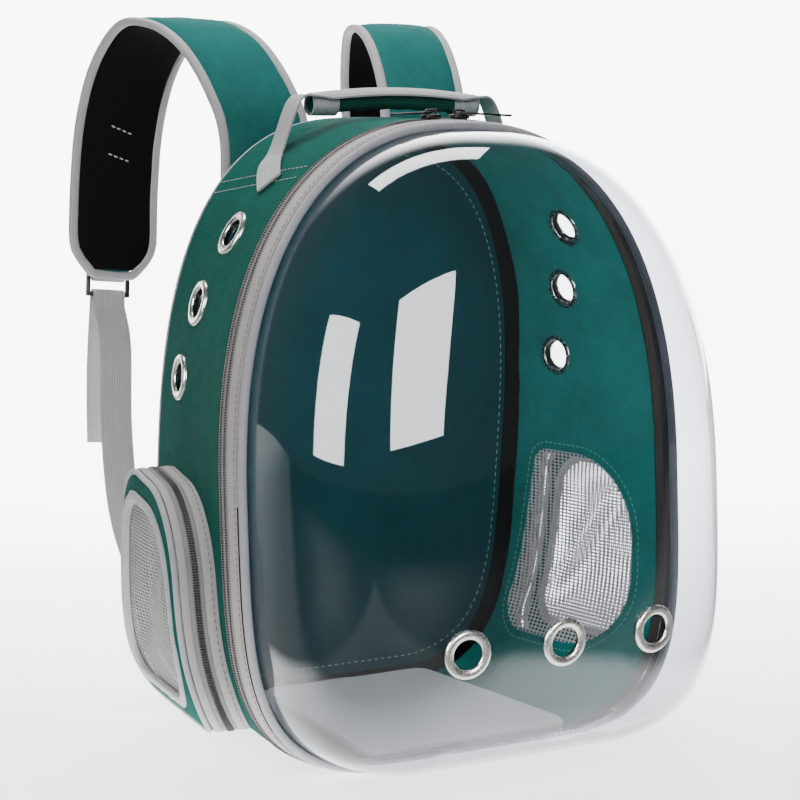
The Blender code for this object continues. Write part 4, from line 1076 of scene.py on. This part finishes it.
# Two rows of stitches cross each side under the straps, from a height at the rear to one at the front.
gussetSeams = {"heights": ((0.375, 0.388), (0.368, 0.381)), "rearShare": 0.98, "span": 0.95, "steps": 40}
for side, word in ((-1, "left"), (1, "right")):
    tag = word.title()
    air = bag["air"]
    baseEnd = air + pocketSet["base"]
    zipperEnd = baseEnd + air + pocketSet["zipper"]
    bandEnd = pocketSet["out"] - 2 * pocketSet["piping"]
    tapeHigh, tapeLow = pocketSet["raised"], -pocketSet["tape"]
    base = pocketBand("pocketBaseTape" + tag, side, (
        (air, 0.0), (air + 0.002, tapeHigh), (baseEnd - 0.002, tapeHigh), (baseEnd, 0.0),
        (baseEnd, tapeLow), (air, tapeLow)))
    dress(base, "greyTape", [f"pocket_base_tape_{word}"])
    zipper = pocketBand("pocketZipperTape" + tag, side, (
        (baseEnd + air, -0.0002), (baseEnd + 0.003, 0.0), (baseEnd + 0.0053, -tapeHigh),
        (zipperEnd - 0.003, 0.0), (zipperEnd, -0.0002), (zipperEnd, tapeLow), (baseEnd + air, tapeLow)))
    dress(zipper, "greyZipper", [f"pocket_zipper_{word}"])
    rows = []
    for height in (baseEnd + 0.0042, baseEnd + 0.0063):
        points = pocketRing(side, pocketSet["corners"], height, 0.0003)
        rows.append((points, pocketOuts(side, points)))
    coilTeeth("pocketZipperTeeth" + tag, rows, 0.0017, 0.0026, 0.0013, 0.0012)
    tape = pocketBand("pocketFrontTape" + tag, side, (
        (zipperEnd + air, 0.0), (zipperEnd + 0.0015, tapeHigh), (bandEnd - 0.0015, tapeHigh), (bandEnd, 0.0),
        (bandEnd, tapeLow), (zipperEnd + air, tapeLow)))
    dress(tape, "greyTape", [f"pocket_front_tape_{word}"])
    points = pocketRing(side, pocketSet["corners"], air + 0.0030, 0.0006)
    sewnLine("pocketStitches" + tag, points, pocketOuts(side, points), (0.0032, 0.0015, 0.0007, 0.0005),
             "greyThread")
    points = pocketRing(side, pocketSet["corners"], bandEnd + air + pocketSet["piping"], -pocketSet["piping"])
    pocketOval = ovalSection(*[pocketSet["piping"] * pocketSet["pipingSwell"]] * 2, 12)
    cord = pipingCord("pocketPipingCord" + tag, points, pocketOuts(side, points), outward(side), pocketOval)
    dress(cord, "piping", [f"pocket_piping_{word}"])
    outerRing, _ = roundedOutline(pocketSet["corners"], -2 * pocketSet["piping"] - 2 * air)
    innerRing, _ = roundedOutline(pocketSet["window"])
    shares = [j / pocketSet["faceSteps"] for j in range(pocketSet["faceSteps"] + 1)]

    def faceSpot(i, share, depth, side=side, outerRing=outerRing, innerRing=innerRing):
        spot = outerRing[i % len(outerRing)].lerp(innerRing[i % len(innerRing)], share)
        puff = pocketSet["puff"] * math.sin(math.pi * min(share * 1.1, 1.0)) - 0.0005
        wave = ripple(Vector((spot.x, spot.y, side)), 0.02, 0.0004)
        return pocketPoint(side, spot, pocketSet["out"] + puff - depth + wave)
    rowsOfFace = [(share, 0.0) for share in shares] + [(share, pocketSet["face"]) for share in shares[::-1]]
    face = gridPiece("pocketFaceCloth" + tag, pocketSet["points"], len(rowsOfFace),
                     lambda i, j, rowsOfFace=rowsOfFace: faceSpot(i, *rowsOfFace[j % len(rowsOfFace)]))
    dress(face, "oxford", [f"pocket_face_{word}"])
    rings = []
    for grow, height in pocketSet["edging"]:
        rings.append(pocketRing(side, pocketSet["window"], pocketSet["out"] + height, grow))

    def bindingPlace(i, j, rings=rings, side=side):
        i, j = i % pocketSet["points"], j % len(rings)
        point = rings[j][i]
        if 0 < j < 6:
            point = point + outward(side) * ripple(point, 0.007, 0.0007, 7.0)
            inward = rings[6][i] - rings[0][i]
            point = point + inward * 0.16 * noise.noise(Vector((i * 0.45, j * 0.3, side * 2.0)))
        return point
    binding = gridPiece("pocketWindowBinding" + tag, pocketSet["points"], len(rings), bindingPlace)
    dress(binding, "paleBinding", [f"pocket_edging_{word}"])
    points = pocketRing(side, pocketSet["window"], pocketSet["out"] + 0.0023, 0.0026)
    sewnLine("pocketWindowStitches" + tag, points, [outward(side)] * len(points),
             (0.0030, 0.0014, 0.0006, 0.0005))

    def faceSeat(spot, drop, side=side):
        return pocketPoint(side, spot, pocketSet["out"] - pocketSet["face"] - pocketSet["seatGap"] - drop)
    netSheet("pocketNet" + tag, side, pocketSet["window"], pocketSet["netMargin"], faceSeat,
             pocketSet["netSag"], "net", f"pocket_mesh_{word}")

    def liningSeat(spot, drop, side=side):
        normal = wallNormal(side, spot.x, spot.y)
        return wallPoint(side, spot.x, spot.y) - normal * (bag["cloth"] + pocketSet["seatGap"] - 0.3 * drop)
    netSheet("windowNet" + tag, side, pocketSet["wallWindow"], pocketSet["windowNetMargin"], liningSeat,
             pocketSet["windowNetSag"], "windowNet", f"window_mesh_{word}")
    spots, _ = roundedOutline(pocketSet["wallWindow"], pocketSet["windowSeam"])
    points = [liningSeat(spot, 0.0) + wallNormal(side, spot.x, spot.y) * 0.0006 for spot in spots]
    outs = [-wallNormal(side, spot.x, spot.y) for spot in spots]
    sewnLine("windowStitches" + tag, points, outs, (0.0032, 0.0015, 0.0007, 0.0006), "darkThread")
    for number, (rear, front) in enumerate(gussetSeams["heights"]):
        points, outs = [], []
        for step in range(gussetSeams["steps"] + 1):
            share = gussetSeams["rearShare"] - gussetSeams["span"] * step / gussetSeams["steps"]
            z = front + (rear - front) * share
            hit, normal, _, _ = boxTree.ray_cast(Vector((0.0, wallY(share, z), z)), widthAxis * side)
            points.append(hit + normal * bag["air"])
            outs.append(normal)
        sewnLine(f"gussetStitches{tag}{number + 1}", points, outs, (0.0033, 0.0010, 0.0007, 0.0006),
                 loop=False)
points = [backSpot(i, backSet["stitchScale"], -0.0004) for i in range(ringCount)]
intoCabin = Vector((0.0, -1.0, -bag["rearLean"])).normalized()
sewnLine("backSeamStitches", points, [intoCabin] * ringCount, (0.0036, 0.0022, 0.0007, 0.0006), "darkThread")
print("stage: the side pockets are made")


def smoothRoute(points, steps):
    ends = [points[0] * 2 - points[1]] + list(points) + [points[-1] * 2 - points[-2]]
    route = []
    for number in range(1, len(ends) - 2):
        before, start, end, after = ends[number - 1:number + 3]
        for step in range(steps):
            share = step / steps
            slope = (end - before) * share
            bend = (2 * before - 5 * start + 4 * end - after) * share * share
            twist = (3 * start - before - 3 * end + after) * share ** 3
            route.append(0.5 * (2 * start + slope + bend + twist))
    route.append(points[-1].copy())
    return route


def ribbon(name, route, sides, halfWide, thick, bend=lambda i: 0.0):
    outs = [side.cross(directionAt(route, i)).normalized() for i, side in enumerate(sides)]
    sides = [side.normalized() for side in sides]
    flat = ovalSection(halfWide, thick / 2, 20, 7.0)

    def section(i):
        return [(aside, above + bend(i) * (aside / halfWide) ** 2) for aside, above in flat]
    return sweep(name, route, sides, outs, section)


# The grab handle: a rolled grip under one webbing that runs down both shoulders of the bag.
handleSet = {
    "across": 0.57, "radius": 0.0065, "length": 0.128, "arch": 0.0045, "fingerGap": 0.0055, "steps": 60,
    "webbing": 0.0016, "wide": 0.020, "bend": 0.0045, "bendFrom": 0.004, "bendOver": 0.016,
    "shoulderOut": 0.012, "tailOut": 0.024, "tailDrop": 0.020, "tailForward": 0.034, "probe": 0.010,
    "wrapIn": 0.009, "wrapHalf": 0.010, "wrapThick": 0.0007, "wrapOff": 0.0006, "wrapSteps": 32,
}
handleY = wallY(handleSet["across"], bag["rear"][1])
handleBase = roofHeight(handleSet["across"], 0.0) + handleSet["fingerGap"] + handleSet["radius"]


def gripHeight(x):
    return handleBase - handleSet["arch"] * (2 * x / handleSet["length"]) ** 2


route = []
for number in range(handleSet["steps"] + 1):
    x = handleSet["length"] * (number / handleSet["steps"] - 0.5)
    route.append(Vector((x, handleY, gripHeight(x))))
sides, outs = frames(route, lambda i: upAxis)


def gripSection(i):
    end = min(i, handleSet["steps"] - i)
    radius = handleSet["radius"] * (1.0 if end > 1 else 0.90 if end else 0.62)
    points = []
    for step in range(20):
        turn = 2 * math.pi * step / 20
        twist = 0.035 * math.sin(i * 0.9 + 2 * math.sin(turn))
        wave = 1 + twist + 0.05 * noise.noise(Vector((i * 0.3, step * 0.5, 2.0)))
        points.append((radius * wave * math.cos(turn), radius * wave * math.sin(turn)))
    return points


grip = sweep("handleRoll", route, sides, outs, gripSection)
dress(grip, "oxford", ["handle_grip"])


def handleTail(side):
    shoulder = gripHeight(handleSet["length"] / 2) + 0.4 * handleSet["radius"]
    start = Vector((side * (handleSet["length"] / 2 + handleSet["shoulderOut"]), handleY, shoulder))
    points = [(start, depthAxis)]
    top = roofHeight(handleSet["across"], handleSet["length"] / 2 + handleSet["tailOut"])
    for share in (0.0, 0.33, 0.66, 1.0):
        z = top - handleSet["tailDrop"] * share
        here = handleY - handleSet["tailForward"] * share ** 1.3
        seat = wallPoint(side, here, z)
        normal = wallNormal(side, here, z)
        step = here - handleSet["probe"] * handleSet["tailForward"] / handleSet["tailDrop"] * share ** 0.3
        ahead = wallPoint(side, step, z - handleSet["probe"]) - seat
        across = normal.cross(ahead).normalized() * side
        if across.y < 0:
            across = -across
        points.append((seat + normal * (4 * bag["air"] + handleSet["webbing"] / 2), across))
    return points


lift = handleSet["radius"] + bag["air"] + handleSet["webbing"] / 2
knots = []
for point in route[::10]:
    knots.append((point + upAxis * lift, depthAxis))
knots = handleTail(-1)[::-1] + knots + handleTail(1)
path = smoothRoute([point for point, _ in knots], 7)
across = smoothRoute([side for _, side in knots], 7)


def handleBend(i):
    share = (handleSet["length"] / 2 + handleSet["bendFrom"] - abs(path[i].x)) / handleSet["bendOver"]
    return handleSet["bend"] * min(max(share, 0.0), 1.0)


webbing = ribbon("handleWebbingBand", path, across, handleSet["wide"] / 2, handleSet["webbing"], handleBend)
dress(webbing, "webbing", ["handle_webbing"])
wrapOval = ovalSection(handleSet["wrapHalf"], handleSet["wrapThick"], 12, 6.0)
for side, word in ((-1, "Left"), (1, "Right")):
    x = side * (handleSet["length"] / 2 - handleSet["wrapIn"])
    wrapRoute, wrapOuts = [], []
    for step in range(handleSet["wrapSteps"]):
        turn = 2 * math.pi * step / handleSet["wrapSteps"]
        out = Vector((0.0, math.cos(turn), math.sin(turn)))
        middle = Vector((x, handleY, gripHeight(x)))
        wrapRoute.append(middle + out * (handleSet["radius"] + handleSet["wrapOff"]))
        wrapOuts.append(out)
    wrap = pipingCord("handleWrap" + word, wrapRoute, wrapOuts, widthAxis, wrapOval)
    dress(wrap, "webbing")
print("stage: the handle is made")

# Shoulder straps: foam in cloth, bound along both edges, held out in an arch by its own stiffness.
# Points of the route and of the slack webbing are shares of the splay, the reach and the rise.
strapSet = {
    "spread": 0.062, "splay": 0.060, "wide": 0.056, "pad": 0.009, "foot": 0.345, "rise": 0.143,
    "reach": 0.147, "endDrop": 0.037, "endReach": 0.95, "endPower": 2.6, "endLeast": 0.45,
    "binding": 0.0032, "bindingWide": 0.0034, "bindingThick": 0.0029, "bindingOff": 0.9,
    "bindingSteps": 260, "swell": 0.0012, "edgeThick": 0.42, "wrinkle": 0.0007, "tacks": (0.412, 0.391),
    "tackSpots": (-0.009, -0.003, 0.003, 0.009), "tackSlant": 0.25,
    "route": ((0.03, 0.01, 0.42), (0.12, 0.10, 0.66), (0.24, 0.29, 0.87), (0.38, 0.52, 0.98),
        (0.54, 0.75, 0.97), (0.70, 0.92, 0.78), (0.82, 1.00, 0.50), (0.91, 1.00, 0.16)),
    "slack": ((1.03, 0.93, 0.80), (1.10, 0.84, 0.58), (1.14, 0.66, 0.36), (1.08, 0.40, 0.17),
        (0.96, 0.17, 0.05)),
}
lockSet = {
    "bar": 0.0028, "window": 0.011, "lift": 0.0033, "beyond": 0.004, "wide": 0.025, "tab": 0.036,
    "tabBend": 0.006, "tabFlat": 0.013, "footHeight": 0.032, "footOut": 0.098, "footLong": 0.022,
    "under": 0.008, "tail": 0.110, "tailSway": 0.004,
    "tailShares": (0.12, 0.25, 0.38, 0.5, 0.62, 0.75, 0.88, 1.0),
}


def strapBaseY(z):
    return rearY(z) + 2 * bag["air"] + backSet["pad"] + strapSet["pad"] / 2


def strapPoint(side, splay, reach, rise):
    z = strapSet["foot"] + strapSet["rise"] * rise
    y = strapBaseY(strapSet["foot"] + strapSet["rise"] * strapSet["route"][0][2]) + strapSet["reach"] * reach
    return Vector((side * (strapSet["spread"] + strapSet["splay"] * splay), y, z))


def strapRoute(side, steps):
    foot = Vector((side * strapSet["spread"], strapBaseY(strapSet["foot"]), strapSet["foot"]))
    end = strapPoint(side, 1.0, strapSet["endReach"], -strapSet["endDrop"] / strapSet["rise"])
    return smoothRoute([foot] + [strapPoint(side, *step) for step in strapSet["route"]] + [end], steps)


def strapSideways(route):
    sides = []
    for number in range(len(route)):
        along = directionAt(route, number)
        sides.append((widthAxis - along * widthAxis.dot(along)).normalized())
    return sides


def strapHalves(route):
    left = [0.0]
    for one, two in zip(route[::-1], route[-2::-1]):
        left.append(left[-1] + (two - one).length)
    radius, power = strapSet["wide"] / 2, strapSet["endPower"]
    halves = []
    for distance in left[::-1]:
        short = max(radius - distance, 0.0) / radius
        halves.append(radius * max((1 - short ** power) ** (1 / power), strapSet["endLeast"]))
    return halves


def lockFrame(side):
    coarse = strapRoute(side, 2)
    down = (coarse[-1] - coarse[-3]).normalized()
    across = strapSideways(coarse)[-1]
    out = down.cross(across).normalized()
    if out.y < 0:
        out = -out
    rise = strapSet["pad"] / 2 + 2 * bag["air"] + handleSet["webbing"] / 2 + lockSet["lift"]
    return coarse[-1] + down * lockSet["beyond"] + out * rise, across, down, out


for side, word in ((-1, "left"), (1, "right")):
    tag = word.title()
    route = strapRoute(side, 9)
    sides = strapSideways(route)
    halves = strapHalves(route)
    outs = []
    for number, across in enumerate(sides):
        outs.append(directionAt(route, number).cross(across).normalized())
    if outs[len(outs) // 2].z < 0:
        outs = [-out for out in outs]

    def padSection(i, halves=halves, side=side):
        half, edge = halves[i] + strapSet["swell"], strapSet["edgeThick"]
        points = []
        for step in range(28):
            turn = 2 * math.pi * step / 28
            x, y = math.cos(turn), math.sin(turn)
            wide = half * math.copysign(abs(x) ** 0.55, x)
            crown = edge + (1 - edge) * (1 - (wide / half) ** 2) ** 0.35 if abs(wide) < half else edge
            thick = strapSet["pad"] / 2 * crown * math.copysign(abs(y) ** 0.45, y)
            wrinkle = strapSet["wrinkle"] * noise.noise(Vector((i * 0.22, wide * 60, side * 3.0)))
            points.append((wide, thick + wrinkle))
        return points
    strap = sweep("strapCushion" + tag, route, sides, outs, padSection)
    dress(strap, ("strapOxford", "blackLining"), [f"strap_pad_{word}"])
    for face in strap.data.polygons:
        near = min(range(0, len(route), 2), key=lambda number: (route[number] - face.center).length_squared)
        face.material_index = 0 if face.normal.dot(outs[near]) > -0.02 else 1
    air = strapSet["binding"] + 2 * bag["air"]
    off = strapSet["bindingOff"]
    nearLine = [point - across * (half + air * off) for point, across, half in zip(route, sides, halves)]
    farLine = [point + across * (half + air * off) for point, across, half in zip(route, sides, halves)]
    beyond = (route[-1] - route[-2]).normalized() * air * off
    endTurn = [nearLine[-1] + beyond, route[-1] + beyond * 1.15, farLine[-1] + beyond]
    line = evenPoints(nearLine[:-1] + endTurn + farLine[:-1][::-1], strapSet["bindingSteps"])
    bindOuts = []
    for point in line:
        near = min(range(len(route)), key=lambda number: (route[number] - point).length_squared)
        bindOuts.append(outs[near])
    bindSides, bindOuts = frames(line, lambda i: bindOuts[i])
    bindOval = ovalSection(strapSet["bindingWide"], strapSet["bindingThick"], 14, 2.6)
    binding = sweep("strapEdgeBinding" + tag, line, bindSides, bindOuts, lambda i: bindOval)
    dress(binding, "paleBinding", [f"strap_binding_{word}"])

    # two short tacks hold the black lining
    for number, level in enumerate(strapSet["tacks"]):
        seat = min(range(len(route) // 2, len(route)), key=lambda place: abs(route[place].z - level))
        under = strapSet["pad"] / 2 + 0.0002
        ahead = (route[seat + 1] - route[seat]).normalized()
        points = []
        for spot in strapSet["tackSpots"]:
            slant = ahead * spot * strapSet["tackSlant"]
            points.append(route[seat] + sides[seat] * spot + slant - outs[seat] * under)
        sewnLine(f"strapTack{tag}{number + 1}", points, [-outs[seat]] * 4, (0.0034, 0.0006, 0.0012, 0.0007),
                 loop=False)

    origin, across, down, out = lockFrame(side)

    def inLock(drop, rise, origin=origin, down=down, out=out):
        return origin + down * drop + out * rise

    def barTurn(drop, start, end):
        radius = lockSet["lift"]
        turns = [math.radians(start + (end - start) * step / 12) for step in range(13)]
        return [inLock(drop + radius * math.cos(turn), radius * math.sin(turn)) for turn in turns]
    thick = handleSet["webbing"]
    lift, bend = lockSet["lift"], lockSet["tabBend"]
    layer = -lift + thick + bag["air"] + 0.0002
    tab = [inLock(-lockSet["tab"], -lift), inLock(-bend, -lift)] + barTurn(0.0, -90, 90)
    tab.append(inLock(-bend, lift - thick / 2))
    tab += [inLock(-lockSet[length], layer) for length in ("tabFlat", "tab")]
    piece = ribbon("lockTabBand" + tag, tab, [across] * len(tab), lockSet["wide"] / 2, thick)
    dress(piece, "webbing", [f"lock_tab_{word}"])

    lowBar = lockSet["bar"] + lockSet["window"]
    seatY = rearY(lockSet["footHeight"]) + 3 * bag["air"] + backSet["pad"] + thick / 2
    footTop = Vector((side * lockSet["footOut"], seatY, lockSet["footHeight"]))
    footEnd = footTop - Vector((side * lockSet["footLong"], 0.0, 0.0))
    end = strapRoute(side, 2)[-1]
    hang = []
    for splay, reach, rise in strapSet["slack"]:
        hang.append(Vector((side * (strapSet["spread"] + strapSet["splay"] * splay),
                            footTop.y + (end.y - footTop.y) * reach, footTop.z + (end.z - footTop.z) * rise)))
    upright = Vector((0.0, -bag["rearLean"], 1.0)).normalized()
    turned = across * (-side) if across.dot(widthAxis * side) > 0 else across * side
    knots = [(footTop, upright)]
    for number, point in enumerate(hang[::-1]):
        knots.append((point, upright.lerp(turned, min((number + 1) / 3, 1.0)).normalized()))
    knots.append((inLock(lowBar + lockSet["under"], -lift), turned))
    path = [footEnd] + smoothRoute([point for point, _ in knots], 8)
    wide = [upright] + smoothRoute([vector for _, vector in knots], 8)
    turns = barTurn(lowBar, -90, -270)
    tail = [inLock(lowBar + lockSet["tail"] * share, lift + lockSet["tailSway"] * math.sin(math.pi * share))
            for share in lockSet["tailShares"]]
    path += turns + tail
    wide += [turned] * (len(turns) + len(tail))
    piece = ribbon("strapWebbingBand" + tag, path, wide, lockSet["wide"] / 2, thick)
    dress(piece, "webbing", [f"strap_webbing_{word}"])
print("stage: the straps and their webbing are made")


# Sliders, pull tabs and locks: the solids' own shapes with their edges broken.
def softened(node, name, body, finish, width):
    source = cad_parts[node]
    piece = source.copy()
    piece.data = source.data.copy()
    piece.name = piece.data.name = name
    bpy.context.scene.collection.objects.link(piece)
    piece.parent = None
    piece.matrix_world = source.matrix_world.copy()
    piece.hide_render = piece.hide_viewport = False
    editAll(piece, mergeDoubles, lambda: bpy.ops.mesh.dissolve_limited(angle_limit=0.01))
    applied(piece, "BEVEL", width=width, segments=2, limit_method="ANGLE", angle_limit=math.radians(30))
    smoothShade(piece, 50)
    return dress(piece, finish, [node], body)


# node, piece, body, finish, slot and the width of the broken edge
hardware = (
    ("front_slider", "frontSliderBody", "bag", "lacquer", "black_metal", 0.0004),
    ("pocket_slider", "pocketSliderBody", "bag", "lacquer", "black_metal", 0.0004),
    ("front_pull", "frontPullTab", "front_tab", "lacquer", "black_metal", 0.0003),
    ("pocket_pull", "pocketPullTab", "pocket_tab", "lacquer", "black_metal", 0.0003),
    ("ladder_lock", "ladderLockFrame", "bag", "acetal", "black_plastic", 0.0005),
)
for word in ("left", "right"):
    for node, name, body, finish, slot, width in hardware:
        rides = body if body == "bag" else f"{body}_{word}"
        softened(f"{node}_{word}", name + word.title(), rides, finish, width)
print("stage: the hardware is made")

# A floor that glows, brighter behind the bag, with its colour and glow faded dark in front of the bag and to
# its sides, and a room that is dim in front, so that the dome stays clear.
studio = {
    "ahead": (0.4963, 0.8596, -0.1219), "aside": (0.8660, -0.5, 0.0), "behind": 9.0, "front": 0.12,
    "worldLobe": (0.55, 0.97), "floorNear": 2.6, "floorFar": 9.0, "glowLobe": (-0.2, 1.2),
    "frontFade": (-0.34, -0.22), "frontTones": (0.08, 0.86), "wedge": -0.22,
    "sideFade": (0.275, 0.36), "sideTones": (1.0, 0.12),
}


def fade(tree, value, reach, tones):
    return addNode(tree, "ShaderNodeMapRange",
                   {"interpolation_type": "SMOOTHSTEP", "From Min": reach[0], "From Max": reach[1],
                    "To Min": tones[0], "To Max": tones[1]}, {"Value": value}).outputs[0]


def along(tree, place, direction):
    return addNode(tree, "ShaderNodeVectorMath", {"operation": "DOT_PRODUCT", 1: direction},
                   {0: place}).outputs["Value"]


def product(tree, one, two):
    return addNode(tree, "ShaderNodeMath", {"operation": "MULTIPLY"}, {0: one, 1: two}).outputs[0]


deselectAll()
bpy.ops.mesh.primitive_plane_add(size=10.0)
floor = bpy.context.object
floor.name = "studioFloor"
white = (1.0, 1.0, 1.0, 1.0)
floorMaterial, tree, shader = newMaterial("glowingStudioFloor", {"Roughness": 0.8, "Emission Color": white})
place = addNode(tree, "ShaderNodeTexCoord").outputs["Object"]
depth = along(tree, place, studio["ahead"])
across = addNode(tree, "ShaderNodeMath", {"operation": "ABSOLUTE"}, {0: along(tree, place, studio["aside"])})
wedge = addNode(tree, "ShaderNodeMath", {"operation": "MULTIPLY_ADD", 1: studio["wedge"]},
                {0: depth, 2: across.outputs[0]})
# the floor's colour and glow are faded dark in front of the bag and to its sides
patch = product(tree, fade(tree, depth, studio["frontFade"], studio["frontTones"]),
                fade(tree, wedge.outputs[0], studio["sideFade"], studio["sideTones"]))
tree.links.new(patch, shader.inputs["Base Color"])
# the floor's glow is painted light: it lights the bag from below and behind
glow = fade(tree, depth, studio["glowLobe"], (studio["floorNear"], studio["floorFar"]))
tree.links.new(product(tree, patch, glow), shader.inputs["Emission Strength"])
floor.data.materials.append(floorMaterial)

world = bpy.data.worlds.new("studio")
bpy.context.scene.world = world
world.use_nodes = True
background = world.node_tree.nodes["Background"]
background.inputs["Color"].default_value = white
tree = world.node_tree
facing = along(tree, addNode(tree, "ShaderNodeTexCoord").outputs["Generated"], studio["ahead"])
glow = fade(tree, facing, studio["worldLobe"], (studio["front"], studio["behind"]))
tree.links.new(glow, background.inputs["Strength"])


def areaLight(name, place, aim, size, power, hidden):
    deselectAll()
    bpy.ops.object.light_add(type="AREA", location=place)
    light = bpy.context.object
    light.name = name
    light.data.shape = "RECTANGLE"
    light.data.size, light.data.size_y = size
    light.data.energy = power
    light.rotation_euler = aim.to_track_quat("-Z", "Y").to_euler()
    for ray in hidden:
        setattr(light, "visible_" + ray, False)


# A softbox stands off the dome in a direction given by its turn from -Y and its height, in degrees. Two of
# them show only as panels mirrored in the dome, the key lights the cloth, and a small lamp lights the cabin.
softboxes = {
    "leftSoftbox": (-72, 15, 1.6, (1.0, 0.9), 46, ("diffuse",)),
    "frontSoftbox": (-4, 17, 1.6, (0.8, 0.9), 36, ("diffuse",)),
    "topSoftbox": (160, 66, 1.5, (1.1, 0.45), 20, ()),
    "keyLight": (-48, 38, 1.9, (1.2, 1.2), 24, ("glossy", "transmission")),
}
domeFront = Vector((-0.10, -0.17, 0.26))
for name, (turn, rise, distance, size, power, hidden) in softboxes.items():
    turn, rise = math.radians(turn), math.radians(rise)
    ahead = Vector((math.sin(turn) * math.cos(rise), -math.cos(turn) * math.cos(rise), math.sin(rise)))
    areaLight(name, domeFront + ahead * distance, -ahead, size, power, hidden)
cabinLamp = {"place": Vector((-0.08, -0.12, 0.33)), "target": Vector((0.15, 0.0, 0.20)), "power": 0.42}
areaLight("cabinLight", cabinLamp["place"], cabinLamp["target"] - cabinLamp["place"], (0.12, 0.12),
          cabinLamp["power"], ("glossy", "transmission", "camera"))
print("stage: the studio is set")
